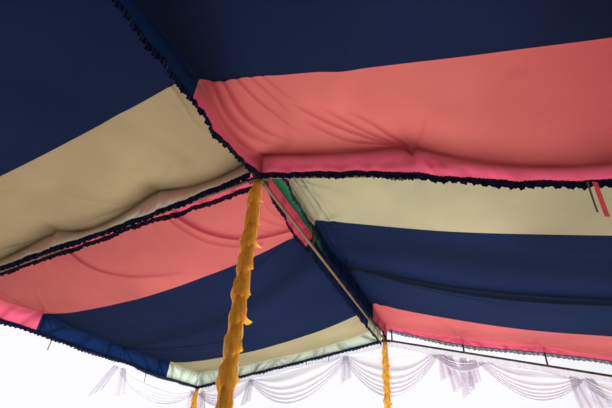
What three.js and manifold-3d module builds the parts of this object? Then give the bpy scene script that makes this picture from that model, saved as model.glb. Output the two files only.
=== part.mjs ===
// Wedding tent of two bays: posts and double pipe beams under a green tarpaulin,
// four striped ceiling sheets, wrapped posts and swagged valances. Millimetres, +Z up.
// X runs across the tent, Y along its ridge, and the origin is on the ground at its middle.
import * as THREE from 'three';
import { mergeVertices } from 'three/addons/utils/BufferGeometryUtils.js';
import Module from 'manifold-3d';

// Driving dimensions
const BAY = 4000;
const HALF_WIDTH = 3000;
const RIDGE_HEIGHT = 3400;
const EAVE_HEIGHT = 2800;
const CHORD_GAP = 250;
const PIPE_DIAMETER = 27;
const POST_DIAMETER = 48;
const STUB_SPACING = 900;
const SEAT_GAP = 0.3;

// Post feet, collars and saddles
const FOOT_SIDE = 160;
const FOOT_THICKNESS = 6;
const COLLAR_SIDE = 60;
const COLLAR_ABOVE = 12;
const COLLAR_BELOW = 28;
const SADDLE_LENGTH = 50;
const SADDLE_WIDTH = 36;
const SADDLE_THICKNESS = 6;

// Ceiling sheets
const SHEET_THICKNESS = 4;
const SHEET_INSET = 38;
const SHEET_BOWL = 150;
const EDGE_SAG = 45;
const FLAP_HEIGHT = { near: 250, far: 240, farRight: 150 };
const RAFTER_TIES = 3;
const BAY_TIES = 2;
const SHEET_COLUMNS = 3 * RAFTER_TIES;
const SHEET_ROWS = 4 * BAY_TIES;
const STRAP_WIDTH = 24;
const STRAP_CORNER = 160;

// Roof tarpaulin
const TARP_THICKNESS = 3;
const TARP_SAG = 45;
const TARP_EAVE = 120;
const TARP_GABLE = 80;
const TARP_HEM = 80;

// Post wraps
const WRAP_FOOT = 180;
const WRAP_HEAD = 60;
const WRAP_WAIST = 44;
const WRAP_BULGE = 56;
const WRAP_STEP = 240;
const WRAP_SIDES = 8;

// Valances
const VALANCE_STANDOFF = 62;
const VALANCE_THICKNESS = 20;
const VALANCE_HEAD = 18;
const RETURN_LENGTH = 1850;
const SWAG_CELLS = 6;
const HEADER_DROP = 90;

// Worked out from the driving dimensions
const SLOPE = (RIDGE_HEIGHT - EAVE_HEIGHT) / HALF_WIDTH;
const SLOPE_ANGLE = Math.atan(SLOPE);
const PIPE_RADIUS = PIPE_DIAMETER / 2;
const PIPE_RISE = PIPE_RADIUS / Math.cos(SLOPE_ANGLE);
const TIE_RISE = PIPE_RISE + SEAT_GAP + SHEET_THICKNESS;
const TARP_RISE = TIE_RISE + SEAT_GAP + TARP_THICKNESS;
const CHORD_END = COLLAR_SIDE / 2 + SEAT_GAP + PIPE_RADIUS * Math.sin(SLOPE_ANGLE);
const ROWS = { near: -BAY, middle: 0, far: BAY };
const LINES = { left: -HALF_WIDTH, ridge: 0, right: HALF_WIDTH };

const COLOURS = {
  steel: 0x6a6c6f, rust: 0x8a6a4c, orange: 0xe08a1c, lining: 0x1f2f60, tarp: 0x128a5c, white: 0xf0eef2,
};

const wasm = await Module();
wasm.setup();

// Height of a lower chord's centreline over a place across the tent
const lowerChord = (x) => RIDGE_HEIGHT - SLOPE * Math.abs(x);
const upperChord = (x) => lowerChord(x) + CHORD_GAP;

const clampTo = (t, low, high) => Math.min(high, Math.max(low, t));

// A three.js geometry as a solid that can be joined or cut
function solid(geometry) {
  const bare = geometry.index ? geometry : geometry.clone();
  bare.deleteAttribute('normal');
  bare.deleteAttribute('uv');
  const merged = mergeVertices(bare, 1e-3);
  const vertProperties = new Float32Array(merged.attributes.position.array);
  const triVerts = new Uint32Array(merged.index.array);
  const whole = new wasm.Manifold(new wasm.Mesh({ numProp: 3, vertProperties, triVerts }));
  if (whole.volume() > 0) return whole;
  // a shape bent through an odd number of swapped axes is inside out until its faces are turned
  for (let n = 0; n < triVerts.length; n += 3) {
    [triVerts[n], triVerts[n + 1]] = [triVerts[n + 1], triVerts[n]];
  }
  return new wasm.Manifold(new wasm.Mesh({ numProp: 3, vertProperties, triVerts }));
}

function join(solids) {
  return solids.reduce((whole, piece) => whole.add(piece));
}

function meshOf(name, whole, colour, roughness, metalness = 0) {
  const { vertProperties, triVerts } = whole.getMesh();
  const geometry = new THREE.BufferGeometry();
  geometry.setAttribute('position', new THREE.Float32BufferAttribute(vertProperties, 3));
  geometry.setIndex(new THREE.Uint32BufferAttribute(triVerts, 1));
  geometry.computeVertexNormals();
  const material = new THREE.MeshStandardMaterial({ color: colour, roughness, metalness });
  const mesh = new THREE.Mesh(geometry, material);
  mesh.name = name;
  return mesh;
}

// A round bar between two points, of few sides, with a corner of its section on top
function bar(from, to, radius, sides = 8) {
  const along = new THREE.Vector3().subVectors(to, from);
  const geometry = new THREE.CylinderGeometry(radius, radius, along.length(), sides);
  const axis = new THREE.Vector3(0, 1, 0);
  geometry.applyQuaternion(new THREE.Quaternion().setFromUnitVectors(axis, along.clone().normalize()));
  const middle = new THREE.Vector3().addVectors(from, to).multiplyScalar(0.5);
  geometry.translate(middle.x, middle.y, middle.z);
  return solid(geometry);
}

function block(x, y, z, width, depth, height) {
  return solid(new THREE.BoxGeometry(width, depth, height).translate(x, y, z));
}

// A slab on a grid of stations: place(i, j, k) gives each corner, k 0 on one side and 1 on the other.
// Both sides are split along the same diagonals, so it is equally thick between its stations
function gridSolid(columns, rows, place) {
  const position = [];
  for (const k of [0, 1]) {
    for (let j = 0; j <= rows; j += 1) {
      for (let i = 0; i <= columns; i += 1) {
        position.push(...place(i, j, k));
      }
    }
  }
  const layer = (columns + 1) * (rows + 1);
  const at = (i, j) => j * (columns + 1) + i;
  const index = [];
  for (let j = 0; j < rows; j += 1) {
    for (let i = 0; i < columns; i += 1) {
      const [a, b, c, d] = [at(i, j), at(i + 1, j), at(i + 1, j + 1), at(i, j + 1)];
      index.push(a, c, b, a, d, c);
      index.push(...[a, b, c, a, c, d].map((corner) => corner + layer));
    }
  }
  const walk = (count, corner) => Array.from({ length: count }, (unused, n) => corner(n));
  const rim = [
    ...walk(columns, (n) => at(n, 0)),
    ...walk(rows, (n) => at(columns, n)),
    ...walk(columns, (n) => at(columns - n, rows)),
    ...walk(rows, (n) => at(0, rows - n)),
  ];
  rim.forEach((p, n) => {
    const q = rim[(n + 1) % rim.length];
    index.push(p, q, q + layer, p, q + layer, p + layer);
  });
  const geometry = new THREE.BufferGeometry();
  geometry.setAttribute('position', new THREE.Float32BufferAttribute(position, 3));
  geometry.setIndex(index);
  return solid(geometry);
}

// The library keeps a mirrored solid's faces pointing out
const mirrorX = (whole) => whole.mirror([1, 0, 0]);
const mirrorY = (whole) => whole.mirror([0, 1, 0]);

// Posts: a pipe on a foot plate, with a square collar and saddles at each chord
function post(x, y) {
  const heights = [lowerChord(x), upperChord(x)];
  const top = upperChord(x) + COLLAR_ABOVE;
  const pieces = [
    block(x, y, FOOT_THICKNESS / 2, FOOT_SIDE, FOOT_SIDE, FOOT_THICKNESS),
    bar(new THREE.Vector3(x, y, FOOT_THICKNESS / 2), new THREE.Vector3(x, y, top), POST_DIAMETER / 2, 12),
  ];
  const across = [x > -HALF_WIDTH ? -1 : 0, x < HALF_WIDTH ? 1 : 0].filter((side) => side !== 0);
  const lengthways = [y > -BAY ? -1 : 0, y < BAY ? 1 : 0].filter((side) => side !== 0);
  const reach = COLLAR_SIDE / 2 + SADDLE_LENGTH / 2 - 2;
  for (const z of heights) {
    const collarHeight = COLLAR_ABOVE + COLLAR_BELOW;
    pieces.push(block(x, y, z + (COLLAR_ABOVE - COLLAR_BELOW) / 2, COLLAR_SIDE, COLLAR_SIDE, collarHeight));
    const under = -PIPE_RADIUS - SEAT_GAP - SADDLE_THICKNESS / 2;
    for (const side of across) {
      const saddle = new THREE.BoxGeometry(SADDLE_LENGTH + 4, SADDLE_WIDTH, SADDLE_THICKNESS);
      saddle.translate(side * reach, 0, under);
      const fall = x === 0 ? side * SLOPE_ANGLE : Math.sign(x) * SLOPE_ANGLE;
      saddle.rotateY(fall);
      pieces.push(solid(saddle.translate(x, y, z)));
    }
    for (const side of lengthways) {
      pieces.push(block(x, y + side * reach, z + under, SADDLE_WIDTH, SADDLE_LENGTH + 4, SADDLE_THICKNESS));
    }
  }
  return join(pieces);
}

// Beams: two chords with upright stubs between them
function beam(start, end, stubs) {
  const rise = new THREE.Vector3(0, 0, CHORD_GAP);
  const pieces = [
    bar(start, end, PIPE_RADIUS),
    bar(start.clone().add(rise), end.clone().add(rise), PIPE_RADIUS),
  ];
  for (const share of stubs) {
    const foot = new THREE.Vector3().lerpVectors(start, end, share);
    pieces.push(bar(foot, foot.clone().add(rise), PIPE_RADIUS * 0.8));
  }
  return join(pieces);
}

function stubShares(length, first) {
  const count = Math.round((length - 2 * first) / STUB_SPACING);
  const step = (length - 2 * first) / count;
  return Array.from({ length: count + 1 }, (unused, n) => (first + n * step) / length);
}

function rafter(side, y) {
  const inner = new THREE.Vector3(side * CHORD_END, y, lowerChord(CHORD_END));
  const outer = new THREE.Vector3(side * (HALF_WIDTH - CHORD_END), y, lowerChord(HALF_WIDTH - CHORD_END));
  return beam(inner, outer, stubShares(inner.distanceTo(outer), 70));
}

function lengthBeam(x, from) {
  const start = new THREE.Vector3(x, from + COLLAR_SIDE / 2 + SEAT_GAP, lowerChord(x));
  const end = new THREE.Vector3(x, from + BAY - COLLAR_SIDE / 2 - SEAT_GAP, lowerChord(x));
  return beam(start, end, stubShares(start.distanceTo(end), 70));
}

// Ceiling sheet over the bay at x 0 to half width, y 0 to one bay, as shares u across and v along
const sheetX = (u) => SHEET_INSET + u * (HALF_WIDTH - 2 * SHEET_INSET);
const sheetY = (v) => SHEET_INSET + v * (BAY - 2 * SHEET_INSET);

function sheetTop(u, v) {
  const bowl = SHEET_BOWL * Math.sin(Math.PI * u) * Math.sin(Math.PI * v);
  const alongBay = Math.sin(BAY_TIES * Math.PI * v) ** 2 * (1 - 2 * u) ** 2;
  const acrossBay = Math.sin(RAFTER_TIES * Math.PI * u) ** 2 * (1 - 2 * v) ** 2;
  return upperChord(sheetX(u)) + TIE_RISE - bowl - EDGE_SAG * (alongBay + acrossBay);
}

// The same height on the sheet's own grid, straight between its stations
function sheetTopOnGrid(u, v) {
  const low = (t, count) => Math.min(count - 1, Math.max(0, Math.floor(t * count)));
  const i = low(u, SHEET_COLUMNS);
  const j = low(v, SHEET_ROWS);
  const mix = THREE.MathUtils.lerp;
  const corner = (a, b) => sheetTop((i + a) / SHEET_COLUMNS, (j + b) / SHEET_ROWS);
  const s = u * SHEET_COLUMNS - i;
  const t = v * SHEET_ROWS - j;
  return mix(mix(corner(0, 0), corner(1, 0), s), mix(corner(0, 1), corner(1, 1), s), t);
}

function sheet(flapHeight) {
  const columns = SHEET_COLUMNS;
  const rows = SHEET_ROWS;
  const pieces = [gridSolid(columns, rows, (i, j, k) => {
    const u = i / columns;
    const v = j / rows;
    return [sheetX(u), sheetY(v), sheetTop(u, v) - (1 - k) * SHEET_THICKNESS];
  })];
  // hanging flaps along the ridge and eave, then along the two rafters
  for (const u of [0, 1]) {
    pieces.push(gridSolid(rows, 1, (i, j, k) => {
      const v = i / rows;
      const shift = u === 0 ? k : k - 1;
      return [sheetX(u) + shift * SHEET_THICKNESS, sheetY(v), sheetTop(u, v) - 1 - (1 - j) * flapHeight];
    }));
  }
  for (const v of [0, 1]) {
    pieces.push(gridSolid(columns, 1, (i, j, k) => {
      const u = i / columns;
      const shift = v === 0 ? k : k - 1;
      return [sheetX(u), sheetY(v) + shift * SHEET_THICKNESS, sheetTop(u, v) - 1 - (1 - j) * flapHeight];
    }));
  }
  pieces.push(...straps());
  return join(pieces);
}

// Tie straps: each runs from inside the sheet's edge up to the crest of the upper chord beside it.
// The stations are how far they lie from the chord's centreline
const STRAP_STATIONS = [0.5, 14, SHEET_INSET + 10];

const shareU = (x) => (x - SHEET_INSET) / (HALF_WIDTH - 2 * SHEET_INSET);
const shareV = (y) => (y - SHEET_INSET) / (BAY - 2 * SHEET_INSET);

function strap(cornerOf) {
  return gridSolid(1, 2, (i, j, k) => {
    const [x, y] = cornerOf((i - 0.5) * STRAP_WIDTH, STRAP_STATIONS[j]);
    const top = j < 2 ? upperChord(x) + TIE_RISE : sheetTopOnGrid(shareU(x), shareV(y)) - 1;
    return [x, y, top - (1 - k) * SHEET_THICKNESS];
  });
}

function straps() {
  const pieces = [];
  const between = [sheetX(1 / RAFTER_TIES), sheetX(2 / RAFTER_TIES)];
  for (const x of [STRAP_CORNER, ...between, HALF_WIDTH - STRAP_CORNER]) {
    pieces.push(strap((width, away) => [x + width, away]));
    pieces.push(strap((width, away) => [x + width, BAY - away]));
  }
  pieces.push(strap((width, away) => [away, BAY / 2 + width]));
  pieces.push(strap((width, away) => [HALF_WIDTH - away, BAY / 2 + width]));
  return pieces;
}

// Roof tarpaulin, one cover over the ridge, resting on the straps and chords. It lies flat for a
// short way on each side of a beam and sags a little between the beams
const TARP_FLAT = 60;

function tarpShare(distance, span) {
  return clampTo((distance - TARP_FLAT) / (span - 2 * TARP_FLAT), 0, 1);
}

function tarpTop(x, y) {
  const u = tarpShare(Math.abs(x), HALF_WIDTH);
  const v = tarpShare(y < 0 ? y + BAY : y, BAY);
  return upperChord(x) + TARP_RISE - TARP_SAG * Math.sin(Math.PI * u) * Math.sin(Math.PI * v);
}

// Stations over one span, with the flat stretch at both of its ends
function spanStations(span, cells) {
  const step = (span - 2 * TARP_FLAT) / cells;
  const free = Array.from({ length: cells + 1 }, (unused, n) => TARP_FLAT + n * step);
  return [0, ...free, span];
}

function tarp() {
  const edge = HALF_WIDTH + TARP_EAVE;
  const end = BAY + TARP_GABLE;
  const right = [...spanStations(HALF_WIDTH, 4), edge];
  const far = [...spanStations(BAY, 4), end];
  const mirrored = (stations) => [...stations.slice(1).reverse().map((s) => -s), ...stations];
  const xs = mirrored(right);
  const ys = mirrored(far);
  const pieces = [gridSolid(xs.length - 1, ys.length - 1, (i, j, k) => [
    xs[i], ys[j], tarpTop(xs[i], ys[j]) - (1 - k) * TARP_THICKNESS,
  ])];
  const hemTop = tarpTop(edge, end) - 1;
  for (const side of [-1, 1]) {
    const x = side * (edge - TARP_THICKNESS / 2);
    pieces.push(block(x, 0, hemTop - TARP_HEM / 2, TARP_THICKNESS, 2 * end, TARP_HEM));
  }
  return join(pieces);
}

// Post wraps: a gathered cloth sleeve that bulges and narrows on its way up
function wrap(x, y) {
  const foot = WRAP_FOOT;
  const head = lowerChord(x) - WRAP_HEAD;
  const bore = POST_DIAMETER / 2 / Math.cos(Math.PI / WRAP_SIDES) + SEAT_GAP;
  const steps = Math.round((head - foot) / WRAP_STEP);
  const profile = [new THREE.Vector2(bore, foot)];
  for (let n = 0; n <= steps; n += 1) {
    const radius = n % 2 === 0 ? WRAP_WAIST : WRAP_BULGE;
    profile.push(new THREE.Vector2(radius, foot + (n * (head - foot)) / steps));
  }
  profile.push(new THREE.Vector2(bore, head));
  profile.push(new THREE.Vector2(bore, foot));
  const geometry = new THREE.LatheGeometry(profile, WRAP_SIDES);
  geometry.rotateX(Math.PI / 2);
  return solid(geometry.translate(x, y, 0));
}

// Valances: a header line, and the tie points where the swags are gathered up
const GABLE_TIES = [-3000, -2100, -600, 660, 1240, 2280, 3000];
const GABLE_DROPS = [360, 520, 560, 480, 470, 380];
const RETURN_DROPS = [430];

function swagDrop(t, depth) {
  return HEADER_DROP + (depth - HEADER_DROP) * Math.sin(Math.PI * t);
}

function hangingSlab(stations, headOf, dropOf, offset) {
  return gridSolid(stations.length - 1, 1, (i, j, k) => {
    const s = stations[i];
    return [s, offset + k * VALANCE_THICKNESS, headOf(s) - (1 - j) * dropOf(i)];
  });
}

function swagStations(ties, drops) {
  const stations = [ties[0]];
  const depths = [HEADER_DROP];
  drops.forEach((depth, n) => {
    for (let cell = 1; cell <= SWAG_CELLS; cell += 1) {
      const t = cell / SWAG_CELLS;
      stations.push(ties[n] + t * (ties[n + 1] - ties[n]));
      depths.push(swagDrop(t, depth));
    }
  });
  return { stations, depths };
}

function valanceTie(s, headOf, offset) {
  const from = PIPE_RADIUS + SEAT_GAP;
  return block(s, (from + offset) / 2 + 1, headOf(s) - VALANCE_HEAD, STRAP_WIDTH, offset - from + 2, 12);
}

function gableValance() {
  const headOf = (s) => lowerChord(s) + VALANCE_HEAD;
  const { stations, depths } = swagStations(GABLE_TIES, GABLE_DROPS);
  const ridge = stations.findIndex((s) => s > 0);
  stations.splice(ridge, 0, 0);
  depths.splice(ridge, 0, (depths[ridge - 1] + depths[ridge]) / 2);
  const slab = hangingSlab(stations, headOf, (i) => depths[i], VALANCE_STANDOFF);
  const ties = GABLE_TIES.slice(1, -1).map((s) => valanceTie(s, headOf, VALANCE_STANDOFF));
  return join([slab, ...ties]);
}

// Built along X at the eave's height, then turned to lie along the eave
function returnValance() {
  const headOf = () => EAVE_HEIGHT + VALANCE_HEAD;
  const { stations, depths } = swagStations([0, RETURN_LENGTH], RETURN_DROPS);
  const slab = hangingSlab(stations, headOf, (i) => depths[i], VALANCE_STANDOFF);
  const ties = [200, RETURN_LENGTH - 60].map((s) => valanceTie(s, headOf, VALANCE_STANDOFF));
  return join([slab, ...ties]);
}

const tent = new THREE.Group();

for (const [line, x] of Object.entries(LINES)) {
  for (const [row, y] of Object.entries(ROWS)) {
    tent.add(meshOf(`post_${line}_${row}`, post(x, y), COLOURS.steel, 0.45, 0.8));
    tent.add(meshOf(`post_wrap_${line}_${row}`, wrap(x, y), COLOURS.orange, 0.7));
  }
}

for (const [row, y] of Object.entries(ROWS)) {
  tent.add(meshOf(`rafter_left_${row}`, rafter(-1, y), COLOURS.steel, 0.45, 0.8));
  tent.add(meshOf(`rafter_right_${row}`, rafter(1, y), COLOURS.steel, 0.45, 0.8));
}

for (const [bay, from] of [['near', -BAY], ['far', 0]]) {
  tent.add(meshOf(`ridge_beam_${bay}`, lengthBeam(0, from), COLOURS.rust, 0.6, 0.6));
  tent.add(meshOf(`eave_beam_left_${bay}`, lengthBeam(-HALF_WIDTH, from), COLOURS.steel, 0.45, 0.8));
  tent.add(meshOf(`eave_beam_right_${bay}`, lengthBeam(HALF_WIDTH, from), COLOURS.steel, 0.45, 0.8));
}

const sheetNear = sheet(FLAP_HEIGHT.near);
const sheetFar = sheet(FLAP_HEIGHT.far);
const sheetFarRight = sheet(FLAP_HEIGHT.farRight);
tent.add(meshOf('ceiling_left_near', mirrorX(mirrorY(sheetNear)), COLOURS.lining, 0.75));
tent.add(meshOf('ceiling_right_near', mirrorY(sheetNear), COLOURS.lining, 0.75));
tent.add(meshOf('ceiling_left_far', mirrorX(sheetFar), COLOURS.lining, 0.75));
tent.add(meshOf('ceiling_right_far', sheetFarRight, COLOURS.lining, 0.75));
tent.add(meshOf('roof_tarpaulin', tarp(), COLOURS.tarp, 0.6));

const gable = gableValance().translate([0, BAY, 0]);
tent.add(meshOf('valance_gable_far', gable, COLOURS.white, 0.8));
tent.add(meshOf('valance_gable_near', mirrorY(gable), COLOURS.white, 0.8));
const rightReturn = returnValance().rotate([0, 0, -90]).translate([HALF_WIDTH, BAY + 40, 0]);
tent.add(meshOf('valance_right_far', rightReturn, COLOURS.white, 0.8));
tent.add(meshOf('valance_left_far', mirrorX(rightReturn), COLOURS.white, 0.8));
tent.add(meshOf('valance_right_near', mirrorY(rightReturn), COLOURS.white, 0.8));
tent.add(meshOf('valance_left_near', mirrorX(mirrorY(rightReturn)), COLOURS.white, 0.8));

export default tent;
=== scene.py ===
"""Wedding tent seen from under its near bay: pipe frame, striped ceiling sheets with ruffled trims,
gathered post wraps, voile swags and a roof tarpaulin. Metres, +Z up, +Y along the ridge."""
import math

import bpy
import numpy as np
from bpy.props import FloatProperty, FloatVectorProperty, PointerProperty
from mathutils import Matrix


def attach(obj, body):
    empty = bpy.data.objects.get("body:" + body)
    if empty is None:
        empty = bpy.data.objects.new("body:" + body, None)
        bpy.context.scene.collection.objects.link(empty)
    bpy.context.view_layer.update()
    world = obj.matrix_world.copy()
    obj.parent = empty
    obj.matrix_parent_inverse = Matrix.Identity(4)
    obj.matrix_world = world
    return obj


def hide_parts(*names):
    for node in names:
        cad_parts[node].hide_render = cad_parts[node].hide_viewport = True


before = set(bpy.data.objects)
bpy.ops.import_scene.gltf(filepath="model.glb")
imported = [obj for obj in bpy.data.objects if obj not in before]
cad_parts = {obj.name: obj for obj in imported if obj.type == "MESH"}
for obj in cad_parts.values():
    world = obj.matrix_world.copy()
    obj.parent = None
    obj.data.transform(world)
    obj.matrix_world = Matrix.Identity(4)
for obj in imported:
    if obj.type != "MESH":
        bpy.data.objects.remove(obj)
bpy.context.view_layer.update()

bl_info = {
    "name": "Wedding Tent",
    "version": (1, 0, 0),
    "blender": (4, 5, 0),
    "location": "View3D > Sidebar > Tent",
    "description": "Builds the cloths, pipes and trims of a two-bay wedding tent",
    "category": "Add Mesh",
}

# Driving sizes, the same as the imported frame's
BAY = 4.0
HALF_WIDTH = 3.0
RIDGE_HEIGHT = 3.4
EAVE_HEIGHT = 2.8
CHORD_GAP = 0.25
PIPE_RADIUS = 0.0135
POST_RADIUS = 0.024
COLLAR = 0.060
SLOPE = (RIDGE_HEIGHT - EAVE_HEIGHT) / HALF_WIDTH
SLOPE_ANGLE = math.atan(SLOPE)
ROWS = {"near": -BAY, "middle": 0.0, "far": BAY}
LINES = {"left": -HALF_WIDTH, "ridge": 0.0, "right": HALF_WIDTH}
BODY = "root"


def lower_chord(x):
    """Height of the lower chord's centreline: it falls evenly from the ridge to the eave."""
    return RIDGE_HEIGHT - SLOPE * np.abs(x)


# Curves and waves

def ease(t):
    """A rise from 0 to 1, level at both ends: three t squared less two t cubed."""
    t = np.clip(t, 0.0, 1.0)
    return t * t * (3 - 2 * t)


def curve_through(points, count):
    """A Catmull-Rom curve: between two points it is the cubic whose end slopes are half the step
    between each point's neighbours."""
    p = np.asarray(points, float)
    p = np.vstack([2 * p[:1] - p[1:2], p, 2 * p[-1:] - p[-2:-1]])
    s = np.linspace(0, len(p) - 3, count)
    n = np.minimum(s.astype(int), len(p) - 4)
    t = (s - n)[:, None]
    a, b, c, d = p[n], p[n + 1], p[n + 2], p[n + 3]
    return 0.5 * (2 * b + (c - a) * t + (2 * a - 5 * b + 4 * c - d) * t**2 + (3 * b - a - 3 * c + d) * t**3)


def evenly(path, step):
    """The same path with its points one step apart, and how far along it each one lies."""
    length = np.r_[0, np.cumsum(np.linalg.norm(np.diff(path, axis=0), axis=1))]
    at = np.linspace(0, length[-1], max(2, int(round(length[-1] / step)) + 1))
    return np.stack([np.interp(at, length, path[:, k]) for k in range(path.shape[1])], axis=1), at


def hung(x, ties, sags):
    """Height of an edge held at its ties: straight from tie to tie, less a parabola that is as deep
    as the span's sag half way along."""
    places, heights = (np.array(v, float) for v in zip(*ties))
    n = np.clip(np.searchsorted(places, x, side="right") - 1, 0, len(sags) - 1)
    t = np.clip((x - places[n]) / (places[n + 1] - places[n]), 0, 1)
    return np.interp(x, places, heights) - 4 * np.array(sags)[n] * t * (1 - t)


def smooth_table(x, table):
    """Height read from a few places along an edge, joined by a Catmull-Rom curve."""
    curve = curve_through(table, 12 * len(table))
    return np.interp(x, curve[:, 0], curve[:, 1])


def ripple(a, b, seed, lengths, height):
    """Slow unevenness: a sum of sine waves of seeded directions, each as high as it is long."""
    rng = np.random.default_rng(seed)
    total = np.zeros(np.broadcast(a, b).shape)
    for length in lengths:
        turn, phase = rng.uniform(0, 2 * math.pi, 2)
        along = a * math.cos(turn) + b * math.sin(turn)
        total = total + np.sin(2 * math.pi * along / length + phase) * length
    return total * height / sum(lengths)


def wander(s, seed, lengths, height):
    """Slow unevenness along one line: a sum of seeded sine waves, each as high as it is long."""
    rng = np.random.default_rng(seed)
    total = sum(length * np.sin(2 * math.pi * s / length + rng.uniform(0, 2 * math.pi)) for length in lengths)
    return total * height / sum(lengths)


# Surfaces

class Surfaces:
    """Collects grids of points and puts them into one mesh of four-sided faces."""

    def __init__(self):
        self.points, self.faces, self.uvs, self.marks, self.hangs, self.count = [], [], [], [], [], 0

    def add(self, grid, uv=None, mark=None, hang=None, ring=False, solid=False):
        """Takes a grid of rows by columns. With ring the last column joins the first, and with
        solid both end rows are closed too and the faces are turned to point outwards. The shade mark
        is how much painted shade each point gets, and hang how far it hangs free, which sets how much glow is
        painted in."""
        rows, columns = grid.shape[:2]
        index = np.arange(rows * columns).reshape(rows, columns)
        wide = np.hstack([index, index[:, :1]]) if ring else index
        faces = np.stack([wide[:-1, :-1], wide[:-1, 1:], wide[1:, 1:], wide[1:, :-1]], axis=-1).reshape(-1, 4)
        flat = grid.reshape(-1, 3)
        if solid:
            rung = np.arange(columns // 2 - 1)
            ladder = np.stack([rung, rung + 1, columns - 2 - rung, columns - 1 - rung], axis=1)
            faces = np.vstack([faces, ladder[:, ::-1], ladder + (rows - 1) * columns])
            q = (flat - flat.mean(0))[faces]
            volume = (np.cross(q[:, 0], q[:, 1]) * q[:, 2]).sum()
            volume = volume + (np.cross(q[:, 0], q[:, 2]) * q[:, 3]).sum()
            if volume < 0:
                faces = faces[:, ::-1]
        self.points.append(flat)
        self.faces.append(faces + self.count)
        self.uvs.append(np.zeros((len(flat), 2)) if uv is None else np.asarray(uv).reshape(-1, 2))
        self.marks.append(np.zeros(len(flat)) if mark is None else np.asarray(mark).reshape(-1))
        self.hangs.append(np.zeros(len(flat)) if hang is None else np.asarray(hang).reshape(-1))
        self.count += len(flat)
        return self

    def make(self, name, material, replaces=(), slot=None, part=True):
        """The mesh object. As a part of the tent it rides on the body, and stands for the nodes
        that it replaces."""
        points, faces = np.vstack(self.points), np.vstack(self.faces)
        mesh = bpy.data.meshes.new(name)
        mesh.vertices.add(len(points))
        mesh.vertices.foreach_set("co", points.astype(np.float32).ravel())
        mesh.loops.add(faces.size)
        mesh.loops.foreach_set("vertex_index", faces.astype(np.int32).ravel())
        mesh.polygons.add(len(faces))
        mesh.polygons.foreach_set("loop_start", np.arange(0, faces.size, 4, dtype=np.int32))
        mesh.polygons.foreach_set("use_smooth", np.ones(len(faces), bool))
        mesh.update(calc_edges=True)
        layer = mesh.uv_layers.new(name="Cloth")
        layer.data.foreach_set("uv", np.vstack(self.uvs)[faces.ravel()].astype(np.float32).ravel())
        # The painted shade, and the hang that sets the painted glow, ride on the points as attributes
        for field, values in (("fold", self.marks), ("hang", self.hangs)):
            attribute = mesh.attributes.new(field, "FLOAT", "POINT")
            attribute.data.foreach_set("value", np.concatenate(values).astype(np.float32))
        mesh.materials.append(material)
        piece = bpy.data.objects.new(name, mesh)
        bpy.context.scene.collection.objects.link(piece)
        if part:
            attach(piece, BODY)
        if replaces:
            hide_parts(*replaces)
        return piece


def unit(v):
    """Vectors divided by their own lengths."""
    return v / np.maximum(np.linalg.norm(v, axis=-1, keepdims=True), 1e-12)


def carried(path, section, across=(0.0, 0.0, 1.0)):
    """A section carried along a path. Each ring stands square to the path: its first axis is the
    path's direction crossed with the given one, and its second completes the square."""
    path, section = np.asarray(path, float), np.asarray(section, float)
    along = unit(np.gradient(path, axis=0))
    first = unit(np.cross(along, np.asarray(across, float)))
    second = np.cross(first, along)
    if section.ndim == 2:
        section = np.broadcast_to(section, (len(path),) + section.shape)
    return path[:, None] + section[..., :1] * first[:, None] + section[..., 1:] * second[:, None]


def circle(radius, sides):
    """Points round a circle, one ring for each radius given."""
    turn = np.arange(sides) * 2 * math.pi / sides
    return np.stack([np.cos(turn), np.sin(turn)], axis=-1) * np.asarray(radius, float)[..., None, None]


def rounded_box(width, depth, corner, steps=4):
    """A rectangle's outline with quarter circles at its corners."""
    quarter = np.arange(4 * steps) // steps
    turn = (quarter + (np.arange(4 * steps) % steps) / (steps - 1)) * math.pi / 2
    middle = np.stack([np.array([1, -1, -1, 1])[quarter] * (width / 2 - corner),
                       np.array([1, 1, -1, -1])[quarter] * (depth / 2 - corner)], axis=-1)
    return middle + corner * np.stack([np.cos(turn), np.sin(turn)], axis=-1)


# Largest lip on a pipe's cut end
LIP = 0.0015


def pipe(surfaces, start, end, radius, sides=16):
    """A straight round pipe: a circle carried from end to end, drawn in a little over a short lip
    at each cut end."""
    start, end = np.asarray(start, float), np.asarray(end, float)
    way = end - start
    length = np.linalg.norm(way)
    lip = min(LIP, length / 8)
    at = np.array([0, lip, 0.5 * length, length - lip, length]) / length
    rings = np.array([radius - lip * 0.7, radius, radius, radius, radius - lip * 0.7])
    side = (0.0, 0.0, 1.0) if abs(way[2]) < 0.9 * length else (0.0, 1.0, 0.0)
    surfaces.add(carried(start + at[:, None] * way, circle(rings, sides), side), ring=True, solid=True)


def plate(surfaces, centre, width, depth, height, corner=0.004, turn=0.0, bevel=0.001):
    """A flat plate with round corners, tilted round the Y axis by its turn. Its outline is drawn in
    by the bevel at the lowest and the highest of four levels."""
    levels = np.array([-0.5 * height, -0.5 * height + bevel, 0.5 * height - bevel, 0.5 * height])
    shrink = np.array([bevel, 0, 0, bevel])
    outline = rounded_box(width, depth, corner)
    scale = 1 - 2 * shrink[:, None, None] / np.array([width, depth])
    tall = np.broadcast_to(levels[:, None, None], (4, len(outline), 1))
    flat = np.concatenate([outline * scale, tall], axis=-1)
    c, s = math.cos(turn), math.sin(turn)
    tilt = np.array([[c, 0, s], [0, 1, 0], [-s, 0, c]])
    surfaces.add(flat @ tilt.T + np.asarray(centre, float), ring=True, solid=True)


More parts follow.
